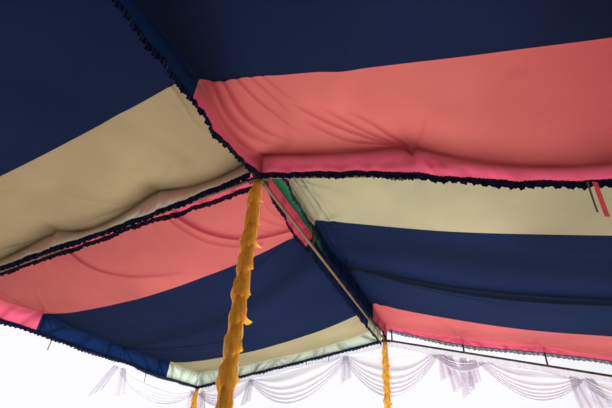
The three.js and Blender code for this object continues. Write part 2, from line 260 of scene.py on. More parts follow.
def weld(surfaces, centre, axis, radius, size=0.0022, sides=30):
    """A weld bead: a ring round a pipe, whose thickness swells as a cosine of ten lumps a turn."""
    turn = np.arange(sides + 1) * 2 * math.pi / sides
    axis = unit(np.asarray(axis, float))
    first = unit(np.cross(axis, (0.31, 0.9, 0.17)))
    second = np.cross(axis, first)
    spoke = np.cos(turn)[:, None] * first + np.sin(turn)[:, None] * second
    lump = size * (1 + 0.25 * np.cos(turn * 10))[:, None]
    tube = np.arange(6) * math.pi / 3
    out = (radius + lump * np.cos(tube))[..., None] * spoke[:, None]
    surfaces.add(np.asarray(centre, float) + out + (lump * np.sin(tube))[..., None] * axis, ring=True)


def ribbon(surfaces, points, width, across, thickness=0.0012, step=0.012):
    """A flat ribbon: a thin rectangle carried along a Catmull-Rom curve, wide along the given
    direction."""
    path, _ = evenly(curve_through(points, 16 * len(points)), step)
    half, thin = width / 2, thickness / 2
    section = np.array([[thin, half], [-thin, half], [-thin, 0], [-thin, -half], [thin, -half], [thin, 0]])
    surfaces.add(carried(path, section, across), ring=True, solid=True)


# Materials

def paint(code):
    """An sRGB hex colour as Blender's linear colour."""
    c = np.array([int(code[n:n + 2], 16) for n in (1, 3, 5)]) / 255
    linear = np.where(c <= 0.04045, c / 12.92, ((c + 0.055) / 1.055) ** 2.4)
    return tuple(float(v) for v in linear) + (1.0,)


def grey(level):
    """A grey of that linear brightness."""
    return (level, level, level, 1.0)


def node(tree, kind, inputs=None, stops=(), take=0, **settings):
    """Adds a shader node with its settings and a ramp's stops. Each input is a value, or another
    node's output to link. It gives back the output asked for."""
    made = tree.nodes.new("ShaderNode" + kind)
    for field, value in settings.items():
        setattr(made, field, value)
    for _ in range(len(stops) - 2):
        made.color_ramp.elements.new(0.5)
    for n, (place, colour) in enumerate(stops):
        made.color_ramp.elements[n].position = place
        made.color_ramp.elements[n].color = colour
    for key, value in (inputs or {}).items():
        if isinstance(value, bpy.types.NodeSocket):
            tree.links.new(value, made.inputs[key])
        else:
            made.inputs[key].default_value = value
    return made.outputs[take] if made.outputs else made


# How a colour mix node is set: to blend two colours by its factor, or to multiply them
BLEND = {"take": 2, "data_type": "RGBA"}
TIMES = {"take": 2, "data_type": "RGBA", "blend_type": "MULTIPLY"}


def new_material(name):
    """An empty node material, and its node tree."""
    material = bpy.data.materials.new(name)
    material.use_nodes = True
    material.node_tree.nodes.clear()
    return material, material.node_tree


# Real threads lie about 0.3 mm apart and the roof's tapes 2.5 mm, too fine to show here, so they are
# drawn ten and three times as coarse
THREAD_PITCH = 0.003
TAPE_PITCH = 0.008
# Stitching draws the cloth in over 8 mm on each side of a seam
STITCH_REACH = 0.008

# Patterns, as how many there are in a metre
DYE_BLOTCHES = 1.6      # 625 mm apart
STAINS = 5.5            # 180 mm apart
SATIN_CLOUDS = 22.0     # 45 mm apart, as wide as one gather
SATIN_CREASES = 45.0    # 22 mm apart
SCUFFS = 9.0            # 110 mm apart, a hand's width
SPECKLES = 160.0        # 6 mm apart, drawn coarser than the real 1 mm
DUST_DRIFTS = 1.1       # 900 mm apart
FLOOR_CLOUDS = 0.6      # 1.7 m apart


def plain_weave(tree, uv, pitch=THREAD_PITCH):
    """Height of a plain weave: the product of two crossed sine waves, one turn for each thread."""
    place = node(tree, "SeparateXYZ", {0: uv}).node.outputs
    turns = 2 * math.pi / pitch
    scaled = [node(tree, "Math", {0: place[k], 1: turns}, operation="MULTIPLY") for k in (0, 1)]
    waves = [node(tree, "Math", {0: s}, operation="SINE") for s in scaled]
    return node(tree, "Math", {0: waves[0], 1: waves[1]}, operation="MULTIPLY")


def cloth_finish(tree, colour, normal, thin, roughness=0.75, sheen=0.2, glow=None, gloss=0.25):
    """Woven cloth: a matt coat with a little sheen, mixed with the light that comes through it in
    its glow colour."""
    front = node(tree, "BsdfPrincipled", {
        "Base Color": colour, "Roughness": roughness, "Normal": normal, "Sheen Weight": sheen,
        "Sheen Roughness": 0.5, "Specular IOR Level": gloss,
    })
    through = node(tree, "BsdfTranslucent", {"Color": colour if glow is None else glow, "Normal": normal})
    return node(tree, "MixShader", {0: thin, 1: front, 2: through})


def lining(name, stripes, glows, shade_dyes, seams, thin, painted_glow_share):
    """Dyed polyester lining, plain woven and sewn from three lengths: dull, blotched where the dye
    took unevenly, stitched along each seam, with painted backlight where it hangs free and on its lit
    strips, and painted shade along its creases, gathers and folds."""
    material, tree = new_material(name)
    uv = node(tree, "UVMap", uv_map="Cloth")
    u, v = node(tree, "SeparateXYZ", {0: uv}).node.outputs[:2]
    lines = [node(tree, "Math", {0: u, 1: slant, 2: start}, operation="MULTIPLY_ADD")
             for slant, start in seams]
    past = [node(tree, "Math", {0: v, 1: line}, operation="GREATER_THAN") for line in lines]
    firsts = [node(tree, "Mix", {0: past[0], 6: dyes[0], 7: dyes[1]}, **BLEND)
              for dyes in (stripes, glows, shade_dyes)]
    colour, glow, deep = [node(tree, "Mix", {0: past[1], 6: first, 7: dyes[2]}, **BLEND)
                          for first, dyes in zip(firsts, (stripes, glows, shade_dyes))]
    # Painted backlight: where the cloth hangs free and on its lit strips, the colour is mixed towards the
    # glow colour, and the border share also lets more light through
    hang = node(tree, "Attribute", take="Fac", attribute_name="hang", attribute_type="GEOMETRY")
    painted_glow = node(tree, "Math", {0: hang, 1: painted_glow_share[1], 2: painted_glow_share[0]}, operation="MULTIPLY_ADD")
    colour = node(tree, "Mix", {0: painted_glow, 6: colour, 7: glow}, **BLEND)
    cloud = node(tree, "TexNoise", {"Vector": uv, "Scale": DYE_BLOTCHES, "Detail": 4.0})
    blotch = node(tree, "ValToRGB", {0: cloud}, stops=((0.3, grey(0.84)), (0.7, grey(1.08))))
    colour = node(tree, "Mix", {0: 1.0, 6: colour, 7: blotch}, **TIMES)
    spots = node(tree, "TexNoise", {"Vector": uv, "Scale": STAINS, "Detail": 5.0, "Roughness": 0.6})
    stain = node(tree, "ValToRGB", {0: spots}, stops=((0.64, grey(1.0)), (0.76, grey(0.86))))
    colour = node(tree, "Mix", {0: 1.0, 6: colour, 7: stain}, **TIMES)
    # Painted shade: along creases, gathers, valleys and border streaks the colour and the glow colour are
    # mixed towards the stripe's shade dye
    fold = node(tree, "Attribute", take="Fac", attribute_name="fold", attribute_type="GEOMETRY")
    colour = node(tree, "Mix", {0: fold, 6: colour, 7: deep}, **BLEND)
    glow = node(tree, "Mix", {0: fold, 6: glow, 7: deep}, **BLEND)
    gaps = [node(tree, "Math", {0: v, 1: line}, operation="SUBTRACT") for line in lines]
    gaps = [node(tree, "Math", {0: gap}, operation="ABSOLUTE") for gap in gaps]
    gap = node(tree, "Math", {0: gaps[0], 1: gaps[1]}, operation="MINIMUM")
    near = node(tree, "Math", {0: gap, 1: 0.8 / STITCH_REACH}, operation="MULTIPLY")
    stitch = node(tree, "ValToRGB", {0: near}, stops=((0.0, grey(0.0)), (0.8, grey(1.0))))
    height = node(tree, "Math", {0: plain_weave(tree, uv), 1: 0.08, 2: stitch}, operation="MULTIPLY_ADD")
    normal = node(tree, "Bump", {"Height": height, "Strength": 0.4, "Distance": 0.003})
    share = node(tree, "Math", {0: hang, 1: 0.7 * painted_glow_share[1], 2: thin}, operation="MULTIPLY_ADD")
    node(tree, "OutputMaterial", {"Surface": cloth_finish(tree, colour, normal, share, 0.9, 0.0, glow, 0.1)})
    return material


def satin(name, colour, depth, thin, crumple, roughness):
    """Polyester satin, woven with long floats and gathered by hand: painted highlights in random
    patches, small creases between them, and painted shade in its folds, in the colour passed as depth."""
    material, tree = new_material(name)
    uv = node(tree, "UVMap", uv_map="Cloth")
    # Painted highlights: the colour is brightened up to 1.4 times in random patches about a gather wide
    cloud = node(tree, "TexNoise", {"Vector": uv, "Scale": SATIN_CLOUDS, "Detail": 4.0})
    tone = node(tree, "ValToRGB", {0: cloud}, stops=((0.3, grey(0.88)), (0.7, grey(1.4))))
    shade = node(tree, "Mix", {0: 1.0, 6: colour, 7: tone}, **TIMES)
    # Painted shade: the colour is mixed towards the shade colour, passed in as depth, under frills and in
    # hollows
    fold = node(tree, "Attribute", take="Fac", attribute_name="fold", attribute_type="GEOMETRY")
    shade = node(tree, "Mix", {0: fold, 6: shade, 7: depth}, **BLEND)
    creases = node(tree, "TexNoise", {"Vector": uv, "Scale": SATIN_CREASES, "Detail": 4.0, "Roughness": 0.6})
    normal = node(tree, "Bump", {"Height": creases, "Strength": crumple, "Distance": 0.004})
    node(tree, "OutputMaterial", {"Surface": cloth_finish(tree, shade, normal, thin, roughness, 0.35)})
    return material


def sheer(name, colour, depth, single, thin, sheen):
    """A sheer plain weave, voile or organza: partly see-through where it is single, and closed where
    its folds and hems lie double. The same value paints shade in its folds, mixed towards the colour passed
    as depth. Its sheen is how silky its yarn is."""
    material, tree = new_material(name)
    uv = node(tree, "UVMap", uv_map="Cloth")
    # Painted shade along folds, gathers and hems, mixed towards the shade colour passed in as depth. The same
    # value closes the weave below, where the cloth lies double.
    fold = node(tree, "Attribute", take="Fac", attribute_name="fold", attribute_type="GEOMETRY")
    shade = node(tree, "Mix", {0: fold, 6: colour, 7: depth}, **BLEND)
    height = plain_weave(tree, uv)
    normal = node(tree, "Bump", {"Height": height, "Strength": 0.03, "Distance": 0.001})
    cloth = cloth_finish(tree, shade, normal, thin, 0.8, sheen, None, sheen)
    clear = node(tree, "BsdfTransparent")
    share = node(tree, "Math", {0: fold, 1: 1.0 - single, 2: single}, operation="MULTIPLY_ADD")
    node(tree, "OutputMaterial", {"Surface": node(tree, "MixShader", {0: share, 1: clear, 2: cloth})})
    return material


def painted_steel(name, colour, worn, metallic):
    """Mild steel pipe, painted by brush and knocked about: dull paint with scuffs and rust."""
    material, tree = new_material(name)
    place = node(tree, "TexCoord", take="Object")
    patches = node(tree, "TexNoise", {"Vector": place, "Scale": SCUFFS, "Detail": 6.0, "Roughness": 0.62})
    scuffs = node(tree, "ValToRGB", {0: patches}, stops=((0.5, grey(0.0)), (0.6, grey(1.0))))
    shade = node(tree, "Mix", {0: scuffs, 6: colour, 7: worn}, **BLEND)
    speckle = node(tree, "TexNoise", {"Vector": place, "Scale": SPECKLES, "Detail": 3.0})
    tone = node(tree, "ValToRGB", {0: speckle}, stops=((0.3, grey(0.75)), (0.7, grey(1.15))))
    shade = node(tree, "Mix", {0: 1.0, 6: shade, 7: tone}, **TIMES)
    rough = node(tree, "MapRange", {0: patches, 3: 0.55, 4: 0.85})
    normal = node(tree, "Bump", {"Height": speckle, "Strength": 0.25, "Distance": 0.001})
    finish = node(tree, "BsdfPrincipled", {
        "Base Color": shade, "Roughness": rough, "Normal": normal, "Metallic": metallic,
    })
    node(tree, "OutputMaterial", {"Surface": finish})
    return material


def tarpaulin(name, colour, dust):
    """Woven polyethylene tarpaulin coated on both sides: glossy green over a coarse square weave,
    dusty in its hollows, and glowing a little against the light."""
    material, tree = new_material(name)
    uv = node(tree, "UVMap", uv_map="Cloth")
    cloud = node(tree, "TexNoise", {"Vector": uv, "Scale": DUST_DRIFTS, "Detail": 5.0, "Roughness": 0.6})
    share = node(tree, "ValToRGB", {0: cloud}, stops=((0.42, grey(0.0)), (0.72, grey(0.45))))
    shade = node(tree, "Mix", {0: share, 6: colour, 7: dust}, **BLEND)
    tapes = plain_weave(tree, uv, TAPE_PITCH)
    tone = node(tree, "ValToRGB", {0: tapes}, stops=((0.2, grey(0.9)), (0.8, grey(1.05))))
    shade = node(tree, "Mix", {0: 1.0, 6: shade, 7: tone}, **TIMES)
    normal = node(tree, "Bump", {"Height": tapes, "Strength": 0.3, "Distance": 0.001})
    node(tree, "OutputMaterial", {"Surface": cloth_finish(tree, shade, normal, 0.25, 0.38, 0.0)})
    return material


def studio_floor(name, colour):
    """Painted studio board: matt, pale and barely mottled, so that the tent's shadow shows softly."""
    material, tree = new_material(name)
    place = node(tree, "TexCoord", take="Object")
    cloud = node(tree, "TexNoise", {"Vector": place, "Scale": FLOOR_CLOUDS, "Detail": 3.0})
    tone = node(tree, "ValToRGB", {0: cloud}, stops=((0.3, grey(0.96)), (0.7, grey(1.0))))
    shade = node(tree, "Mix", {0: 1.0, 6: colour, 7: tone}, **TIMES)
    matt = node(tree, "BsdfPrincipled", {"Base Color": shade, "Roughness": 0.8})
    node(tree, "OutputMaterial", {"Surface": matt})
    return material


# Second colours that a user would leave alone
WORN_PAINT = "#4a4038"
BARE_RUST = "#6b4a30"
ROOF_DUST = "#6f8f78"
BRASS, DULL_BRASS = "#a98546", "#6e5228"
# NYLON_SHADE is a painted shade colour for the cord's folds
NYLON, NYLON_SHADE = "#d9d6cc", "#8f8a7c"

MATERIALS = {}


def material_of(name, maker, *values):
    """The material of that name, made at its first use."""
    if name not in MATERIALS:
        MATERIALS[name] = maker(name, *values)
    return MATERIALS[name]


def steel(dyes):
    """The painted finish of the posts and most pipes."""
    return material_of("painted_mild_steel", painted_steel, tuple(dyes.steel), paint(WORN_PAINT), 0.1)


# Sizes and colours

class TentSizes(bpy.types.PropertyGroup):
    """Sizes of the sewn and gathered parts"""
    trim_height: FloatProperty(
        name="Trim height", description="Height of the navy ruffle below each hem",
        default=0.048, min=0.01, max=0.15, unit="LENGTH")
    trim_wave: FloatProperty(
        name="Trim wave", description="Length of one ruffle along the trim",
        default=0.023, min=0.01, max=0.2, unit="LENGTH")
    trim_depth: FloatProperty(
        name="Trim depth", description="How far the ruffle stands to each side of its hem",
        default=0.0045, min=0.0, max=0.03, unit="LENGTH")
    wrap_pitch: FloatProperty(
        name="Wrap pitch", description="Height of one turn of the post wrap",
        default=0.157, min=0.05, max=0.5, unit="LENGTH")
    wrap_radius: FloatProperty(
        name="Wrap radius", description="Radius of the gathered wrap between its frills",
        default=0.036, min=0.03, max=0.06, unit="LENGTH")
    wrap_frill: FloatProperty(
        name="Wrap frill", description="How far the frill stands out from the wrap",
        default=0.028, min=0.0, max=0.04, unit="LENGTH")
    ribbon_width: FloatProperty(
        name="Ribbon width", description="Width of the tie ribbons",
        default=0.018, min=0.005, max=0.05, unit="LENGTH")
    lens: FloatProperty(
        name="Lens", description="Focal length on a full-frame sensor, in millimetres",
        default=24.447, min=10.0, max=200.0, unit="CAMERA")


def dye(name, code, what):
    """A colour property whose default is that hex colour."""
    return FloatVectorProperty(name=name, description=what, subtype="COLOR", size=4, min=0.0, max=1.0,
                               default=paint(code))


class TentDyes(bpy.types.PropertyGroup):
    """Colours of the cloths, the paint and the floor, with the cloths' painted shade and glow colours"""
    # The colours for folds are painted shade, mixed in along folds, creases and gathers. The glow colours
    # light the cloth from behind, and are also painted into its colour where a sheet hangs free.
    coral: dye("Coral", "#dc716a", "Stripe along the middle rafters and the left eave")
    coral_glow: dye("Coral glow", "#f8688a", "The coral stripe against the light")
    coral_deep: dye("Coral folds", "#a82c40", "Folds of the coral stripe")
    navy: dye("Navy", "#162346", "Middle stripe of each sheet")
    navy_glow: dye("Navy glow", "#162e5c", "The navy stripe against the light")
    navy_deep: dye("Navy folds", "#060a16", "Folds of the navy stripe")
    cream: dye("Cream", "#bea680", "Pale stripe")
    cream_glow: dye("Cream glow", "#dcebd8", "The pale stripe against the light")
    cream_deep: dye("Cream folds", "#453a22", "Folds of the pale stripe")
    trim: dye("Trim", "#17234c", "Ruffled trims")
    # Trim folds: painted shade in the ruffles' hollows, and the colour of their doubled top and bound lower
    # edge
    trim_depth: dye("Trim folds", "#080d20", "Folds of the ruffled trims")
    orange: dye("Orange", "#ffce48", "Post wraps")
    # Orange folds: painted shade under the wraps' frills and on their plain under-layer
    orange_shade_dye: dye("Orange folds", "#f2961a", "Folds of the post wraps")
    white: dye("White", "#faf9fc", "Swags")
    # White folds: painted shade in the swags' folds, gathers and pleats
    white_shade_dye: dye("White folds", "#c8c0d4", "Folds of the swags")
    red: dye("Red", "#ff7478", "Loose red ribbon")
    teal: dye("Teal", "#4f6f66", "Loose teal ribbon")
    tarp: dye("Tarpaulin", "#0b8a5a", "Roof")
    steel: dye("Steel", "#26211c", "Painted pipes")
    rust: dye("Rust", "#6e553b", "Weathered ridge pipes")
    floor: dye("Floor", "#e9e6e0", "Studio floor")


# Ceiling sheets. A place on a sheet is (a, b): its distances from the ridge line and from the middle
# rafters, in metres. Heights are risings over the lower chords' plane, so 0 is level with a lower
# pipe's middle.

# How far from its beams' centrelines a sheet's crease lies, and its hanging border
CREASE = 0.050
HANG = 0.040


def edge(ties, sags, hem, reach=0.7, dark=0.25):
    """One side of a sheet: (place, rise) of its ties, a sag for each span, (place, rise) of its hem,
    how far its shape reaches in, and how dark the painted shade along its crease is."""
    return {"ties": ties, "sags": sags, "hem": hem, "reach": reach, "dark": dark}


EAVE_EDGE = edge([(0.05, 0.17), (1.0, 0.18), (2.0, 0.19), (3.0, 0.18), (3.95, 0.17)], [0.05] * 4,
                 [(0.05, 0.0), (1.2, -0.03), (2.0, -0.01), (3.0, -0.03), (3.95, 0.0)])
GABLE_EDGE = edge([(0.05, 0.16), (1.0, 0.18), (2.0, 0.18), (2.95, 0.17)], [0.05, 0.06, 0.05],
                  [(0.05, 0.0), (0.6, -0.02), (1.4, -0.03), (2.3, -0.02), (2.95, 0.0)])

# A pull that doesn't die away downwards, and no pull at all
STEADY = 9.0
NO_PULL = (0.0, 1.0, STEADY)

# Each sheet's own values:
# side, bay: which way a runs along X, and b along Y
# stripes, seams: its three dyes, counted from the middle rafters, and each seam's slope and start
# bowl: how deep the middle hangs, and the powers of its sines across and along
# thin, glow: the share of light let through, and how much of the glow colour is painted in as backlight, flat
# and on a border, where it also lets more light through
# seed, spokes: the seed of its random draws, and the height of the small gathers round its ties, which also
# sets their painted shade
# pull: how far the ridge ties draw the seams along, and how soon that dies inwards and downwards
# trim, closed: the trim's height as a share of the usual one, and how much of its weave is closed
# flap: how strongly streaks of painted shade run down its borders
# middle, ridge, gable, eave: its four edges
# valleys, folds: hollows and crests along paths, each with its half width, its height and how dark its
# painted shade is. A valley is the same all along and a fold dies away. Below 0 the darkness is a strip of
# painted light. A valley of height 0 is only a broad patch of painted shade where the light falls off.
CEILINGS = {
    "right_near": {
        "side": 1, "bay": -1, "stripes": ("coral", "navy", "cream"), "seams": ((0.0, 0.71), (-0.02, 3.08)),
        "bowl": (0.14, 1.0, 1.0), "thin": 0.25, "seed": 11, "spokes": 0.003, "pull": (0.10, 0.09, STEADY),
        "trim": 1.0, "closed": 1.0, "glow": (0.0, 0.6), "flap": 0.12,
        "valleys": [
            ([(0.06, 0.86), (0.12, 1.2), (0.16, 1.8), (0.2, 3.0)], 0.22, 0.0, 0.75),
            ([(2.5, 0.1), (2.1, 0.5), (2.0, 1.0), (2.2, 3.0)], 0.65, 0.0, 0.6),
        ],
        "middle": edge([(0.05, 0.16), (1.01, 0.178), (2.4, 0.16), (2.95, 0.17)], [0.03, 0.17, 0.03],
                       [(0.05, 0.006), (0.3, 0.005), (0.65, 0.004), (0.94, -0.008), (1.2, -0.043),
                        (1.45, -0.072), (1.65, -0.079), (1.85, -0.074), (2.4, -0.01), (2.95, 0.03)],
                       0.7, 0.75),
        "ridge": edge([(0.05, 0.15), (0.78, 0.05), (2.0, 0.07), (3.0, 0.07), (3.95, 0.12)],
                      [0.12, 0.02, 0.02, 0.02],
                      [(0.05, 0.0), (0.15, -0.028), (0.35, -0.073), (0.54, -0.095), (0.67, -0.09),
                       (0.81, -0.075), (1.6, -0.07), (2.6, -0.07), (3.95, -0.02)], 0.25, 0.8),
        "gable": GABLE_EDGE, "eave": EAVE_EDGE,
        "folds": [
            ([(0.10, 0.76), (0.09, 0.55), (0.12, 0.32), (0.2, 0.12)], 0.020, -0.012, 0.9),
            ([(0.15, 0.74), (0.15, 0.5), (0.2, 0.3), (0.3, 0.15)], 0.017, -0.012, 0.9),
            ([(0.22, 0.73), (0.26, 0.55), (0.34, 0.36), (0.42, 0.24)], 0.014, -0.008, 0.7),
            ([(0.30, 0.72), (0.36, 0.55), (0.42, 0.42)], 0.012, -0.006, 0.5),
            ([(0.37, 0.71), (0.45, 0.56), (0.52, 0.47)], 0.012, -0.006, 0.4),
            ([(1.02, 0.05), (0.86, 0.14), (0.66, 0.29), (0.48, 0.47), (0.43, 0.54)], 0.018, -0.013, 1.0),
            ([(1.02, 0.05), (0.89, 0.15), (0.75, 0.29), (0.60, 0.47)], 0.017, -0.013, 1.0),
            ([(1.02, 0.05), (0.93, 0.17), (0.84, 0.31), (0.73, 0.42)], 0.015, -0.011, 0.9),
            ([(1.02, 0.05), (0.85, 0.12), (0.66, 0.18), (0.45, 0.38)], 0.019, -0.013, 1.0),
            ([(1.03, 0.05), (1.1, 0.2), (1.14, 0.36)], 0.015, -0.007, 0.4),
            ([(1.02, 0.055), (0.8, 0.075), (0.6, 0.09), (0.35, 0.1)], 0.014, -0.008, 0.9),
            ([(0.2, 0.13), (0.3, 0.3), (0.36, 0.6), (0.4, 1.0)], 0.05, 0.012, 0.0),
            ([(0.7, 0.5), (0.9, 0.9), (1.2, 1.5)], 0.07, -0.014, 0.0),
        ],
    },
    "left_near": {
        "side": -1, "bay": -1, "stripes": ("cream", "navy", "coral"), "seams": ((-0.05, 0.79), (0.0, 3.08)),
        "bowl": (0.10, 1.0, 1.0), "thin": 0.12, "seed": 23, "spokes": 0.002, "pull": NO_PULL,
        "trim": 1.2, "closed": 1.0, "glow": (0.0, 0.4), "flap": 0.0,
        "valleys": [
            ([(0.1, 0.5), (1.5, 0.5), (2.9, 0.5)], 0.9, 0.0, 0.24),
        ],
        "middle": edge([(0.05, 0.13), (0.82, 0.195), (1.70, 0.165), (2.95, 0.16)], [0.08, 0.14, 0.10],
                       [(0.05, 0.035), (0.36, 0.014), (0.53, 0.006), (0.81, -0.006), (1.05, -0.006),
                        (1.32, -0.008), (1.67, 0.010), (1.93, 0.010), (2.2, 0.010), (2.95, 0.02)], 0.45, 1.0),
        "ridge": edge([(0.05, 0.15), (0.75, 0.19), (2.0, 0.18), (3.0, 0.17), (3.95, 0.17)],
                      [0.01, 0.03, 0.04, 0.04],
                      [(0.05, 0.08), (0.7, 0.08), (2.0, 0.06), (3.95, 0.03)]),
        "gable": GABLE_EDGE, "eave": EAVE_EDGE,
        "folds": [
            ([(0.17, 0.78), (0.18, 0.63), (0.19, 0.46), (0.11, 0.17)], 0.02, -0.008, 0.5),
            ([(0.1, 0.78), (0.1, 0.5), (0.08, 0.2)], 0.012, -0.006, 0.5),
            ([(0.13, 0.06), (0.31, 0.08), (0.5, 0.08)], 0.010, -0.006, 0.5),
            ([(0.82, 0.05), (0.66, 0.16), (0.45, 0.30)], 0.020, -0.007, 0.25),
            ([(0.82, 0.05), (1.0, 0.09), (1.2, 0.12), (1.5, 0.11)], 0.026, -0.014, 0.7),
            ([(0.82, 0.05), (1.01, 0.12), (1.14, 0.22), (1.32, 0.38)], 0.020, -0.009, 0.4),
            ([(0.82, 0.05), (0.72, 0.07), (0.6, 0.08), (0.4, 0.08)], 0.018, -0.008, 0.5),
            ([(1.74, 0.05), (1.6, 0.08), (1.45, 0.12)], 0.022, -0.010, 0.6),
            ([(1.74, 0.05), (1.9, 0.09), (2.1, 0.13), (2.4, 0.14)], 0.026, -0.014, 0.7),
            ([(1.74, 0.05), (1.95, 0.14), (2.2, 0.33)], 0.018, -0.008, 0.35),
            ([(0.4, 0.3), (0.6, 0.9), (0.9, 1.4)], 0.07, 0.012, 0.0),
        ],
    },
    "left_far": {
        "side": -1, "bay": 1, "stripes": ("coral", "navy", "cream"), "seams": ((0.0, 1.0), (0.0, 3.17)),
        "bowl": (0.25, 0.6, 0.6), "thin": 0.4, "seed": 37, "spokes": 0.006, "pull": (0.24, 0.04, 0.08),
        "trim": 0.95, "closed": 0.97, "glow": (0.05, 0.5), "flap": 1.0,
        "middle": edge([(0.05, 0.19), (1.0, 0.2), (2.0, 0.2), (2.95, 0.19)], [0.03, 0.04, 0.04],
                       [(0.05, -0.020), (0.22, -0.018), (0.40, -0.018), (0.56, -0.016), (0.73, -0.006),
                        (0.84, 0.006), (1.0, 0.018), (1.15, 0.014), (1.37, 0.002), (1.68, 0.014),
                        (2.0, 0.022), (2.31, 0.022), (2.95, 0.0)]),
        "ridge": edge([(0.05, 0.19), (1.05, 0.2), (2.2, 0.19), (3.2, 0.19), (3.95, 0.19)],
                      [0.0, 0.04, 0.04, 0.03],
                      [(0.05, 0.02), (0.12, 0.10), (0.2, 0.106), (0.28, 0.056), (0.38, 0.044), (0.5, 0.031),
                       (0.63, 0.003), (0.74, -0.023), (0.91, -0.013), (1.04, 0.0), (1.66, -0.02),
                       (2.79, -0.04), (3.95, -0.04)]),
        "gable": edge([(0.05, 0.19), (1.7, 0.14), (2.95, 0.22)], [0.05, 0.04],
                      [(0.05, -0.005), (1.5, -0.01), (2.95, -0.005)]),
        "eave": edge([(0.05, 0.19), (1.0, 0.2), (2.2, 0.2), (3.1, 0.2), (3.95, 0.22)],
                     [0.04, 0.05, 0.04, 0.03],
                     [(0.05, -0.015), (0.58, -0.005), (1.06, 0.0), (1.49, -0.01), (1.89, -0.015), (2.39, 0.0),
                      (2.82, -0.035), (3.14, -0.03), (3.95, -0.01)]),
        "valleys": [
            ([(0.83, 0.08), (0.79, 0.27), (0.70, 0.48), (0.56, 0.67), (0.38, 0.80), (0.08, 0.92)],
             0.030, -0.016, 1.0),
            ([(0.90, 0.10), (0.87, 0.30), (0.78, 0.55), (0.62, 0.76), (0.42, 0.88)], 0.022, -0.009, 0.5),
            ([(2.93, 2.2), (2.2, 1.95), (1.3, 1.82), (0.5, 1.55), (0.06, 1.32)], 0.20, -0.014, 0.4),
        ],
        "folds": [
            ([(1.79, 0.10), (1.78, 0.34), (1.70, 0.52), (1.50, 0.70), (1.1, 0.86)], 0.026, -0.012, 1.0),
            ([(2.93, 2.2), (2.3, 2.35), (1.7, 2.42), (0.8, 2.38)], 0.035, -0.016, 0.8),
            ([(0.08, 0.97), (0.3, 0.8), (0.45, 0.55)], 0.012, -0.007, 0.6),
            ([(0.08, 0.97), (0.25, 0.7), (0.33, 0.42)], 0.012, -0.007, 0.6),
            ([(0.08, 0.97), (0.18, 0.65), (0.2, 0.35)], 0.011, -0.007, 0.5),
            ([(0.08, 0.97), (0.5, 1.12), (0.9, 1.3)], 0.018, -0.009, 0.4),
            ([(2.93, 2.2), (2.5, 2.05), (2.0, 2.0), (1.5, 1.98)], 0.022, -0.016, 0.5),
            ([(2.93, 2.2), (2.55, 2.4), (2.1, 2.55), (1.6, 2.62)], 0.022, -0.014, 0.5),
            ([(2.93, 2.2), (2.6, 2.7), (2.3, 3.0)], 0.02, -0.012, 0.4),
            ([(2.93, 2.2), (2.6, 1.8), (2.3, 1.5)], 0.02, -0.012, 0.4),
            ([(2.93, 2.2), (2.75, 1.7), (2.65, 1.25)], 0.016, -0.010, 0.5),
            ([(2.93, 1.0), (2.7, 0.8), (2.5, 0.5)], 0.014, -0.009, 0.5),
            ([(2.93, 1.0), (2.8, 0.6), (2.75, 0.25)], 0.014, -0.009, 0.5),
        ],
    },
    "right_far": {
        "side": 1, "bay": 1, "stripes": ("cream", "navy", "coral"), "seams": ((-0.035, 0.97), (0.0, 3.13)),
        "bowl": (0.13, 1.0, 1.0), "thin": 0.4, "seed": 51, "spokes": 0.011, "pull": NO_PULL,
        "trim": 0.95, "closed": 0.7, "glow": (0.14, 0.5), "flap": 1.0,
        "valleys": [
            ([(0.06, 1.88), (0.63, 1.93), (1.06, 1.95), (1.39, 1.94), (1.86, 1.95), (2.27, 1.95),
              (2.9, 1.90)], 0.110, -0.050, 0.85),
            ([(0.06, 1.88), (0.63, 1.87), (1.06, 1.87), (1.39, 1.85), (1.86, 1.86), (2.27, 1.87),
              (2.9, 1.86)], 0.026, -0.012, 1.0),
            ([(0.06, 1.88), (0.6, 1.94), (1.2, 1.96), (1.9, 1.95), (2.9, 1.92)], 0.026, -0.012, 1.0),
            ([(0.06, 1.88), (0.7, 2.02), (1.3, 2.06), (1.9, 2.04), (2.9, 2.0)], 0.026, -0.012, 1.0),
            ([(0.0, 1.5), (0.8, 1.3), (1.8, 1.35), (2.9, 1.4)], 0.30, 0.0, 0.45),
            ([(2.7, 0.1), (2.1, 0.5), (2.0, 0.9)], 0.60, 0.0, 0.35),
        ],
        "middle": edge([(0.05, 0.24), (1.0, 0.2), (2.0, 0.2), (2.95, 0.19)], [0.01, 0.03, 0.03],
                       [(0.05, 0.1), (1.0, 0.04), (2.0, 0.04), (2.95, 0.03)]),
        "ridge": edge([(0.05, 0.24), (0.37, 0.249), (1.04, 0.198), (1.90, 0.25), (3.0, 0.2), (3.95, 0.15)],
                      [0.0, -0.01, 0.06, 0.03, 0.03],
                      [(0.05, 0.16), (0.35, 0.225), (0.48, 0.185), (0.70, 0.162), (0.92, 0.149),
                       (1.08, 0.130), (1.22, 0.06), (1.5, 0.03), (2.4, 0.02), (3.1, 0.02),
                       (3.4, 0.045), (3.7, 0.05), (3.95, 0.04)]),
        "gable": edge([(0.05, 0.22), (1.0, 0.2), (1.9, 0.24), (2.95, 0.24)], [0.03, 0.03, 0.03],
                      [(0.05, 0.147), (1.01, 0.089), (1.89, 0.139), (2.62, 0.162), (2.95, 0.14)]),
        "eave": EAVE_EDGE,
        "folds": [
            ([(0.06, 0.06), (0.07, 0.6), (0.08, 1.1), (0.06, 1.8)], 0.012, 0.006, -1.0),
            ([(0.09, 0.06), (0.10, 0.6), (0.10, 1.1), (0.09, 1.8)], 0.009, -0.006, 1.0),
            ([(0.12, 0.06), (0.13, 0.6), (0.14, 1.1), (0.11, 1.8)], 0.012, 0.006, -0.9),
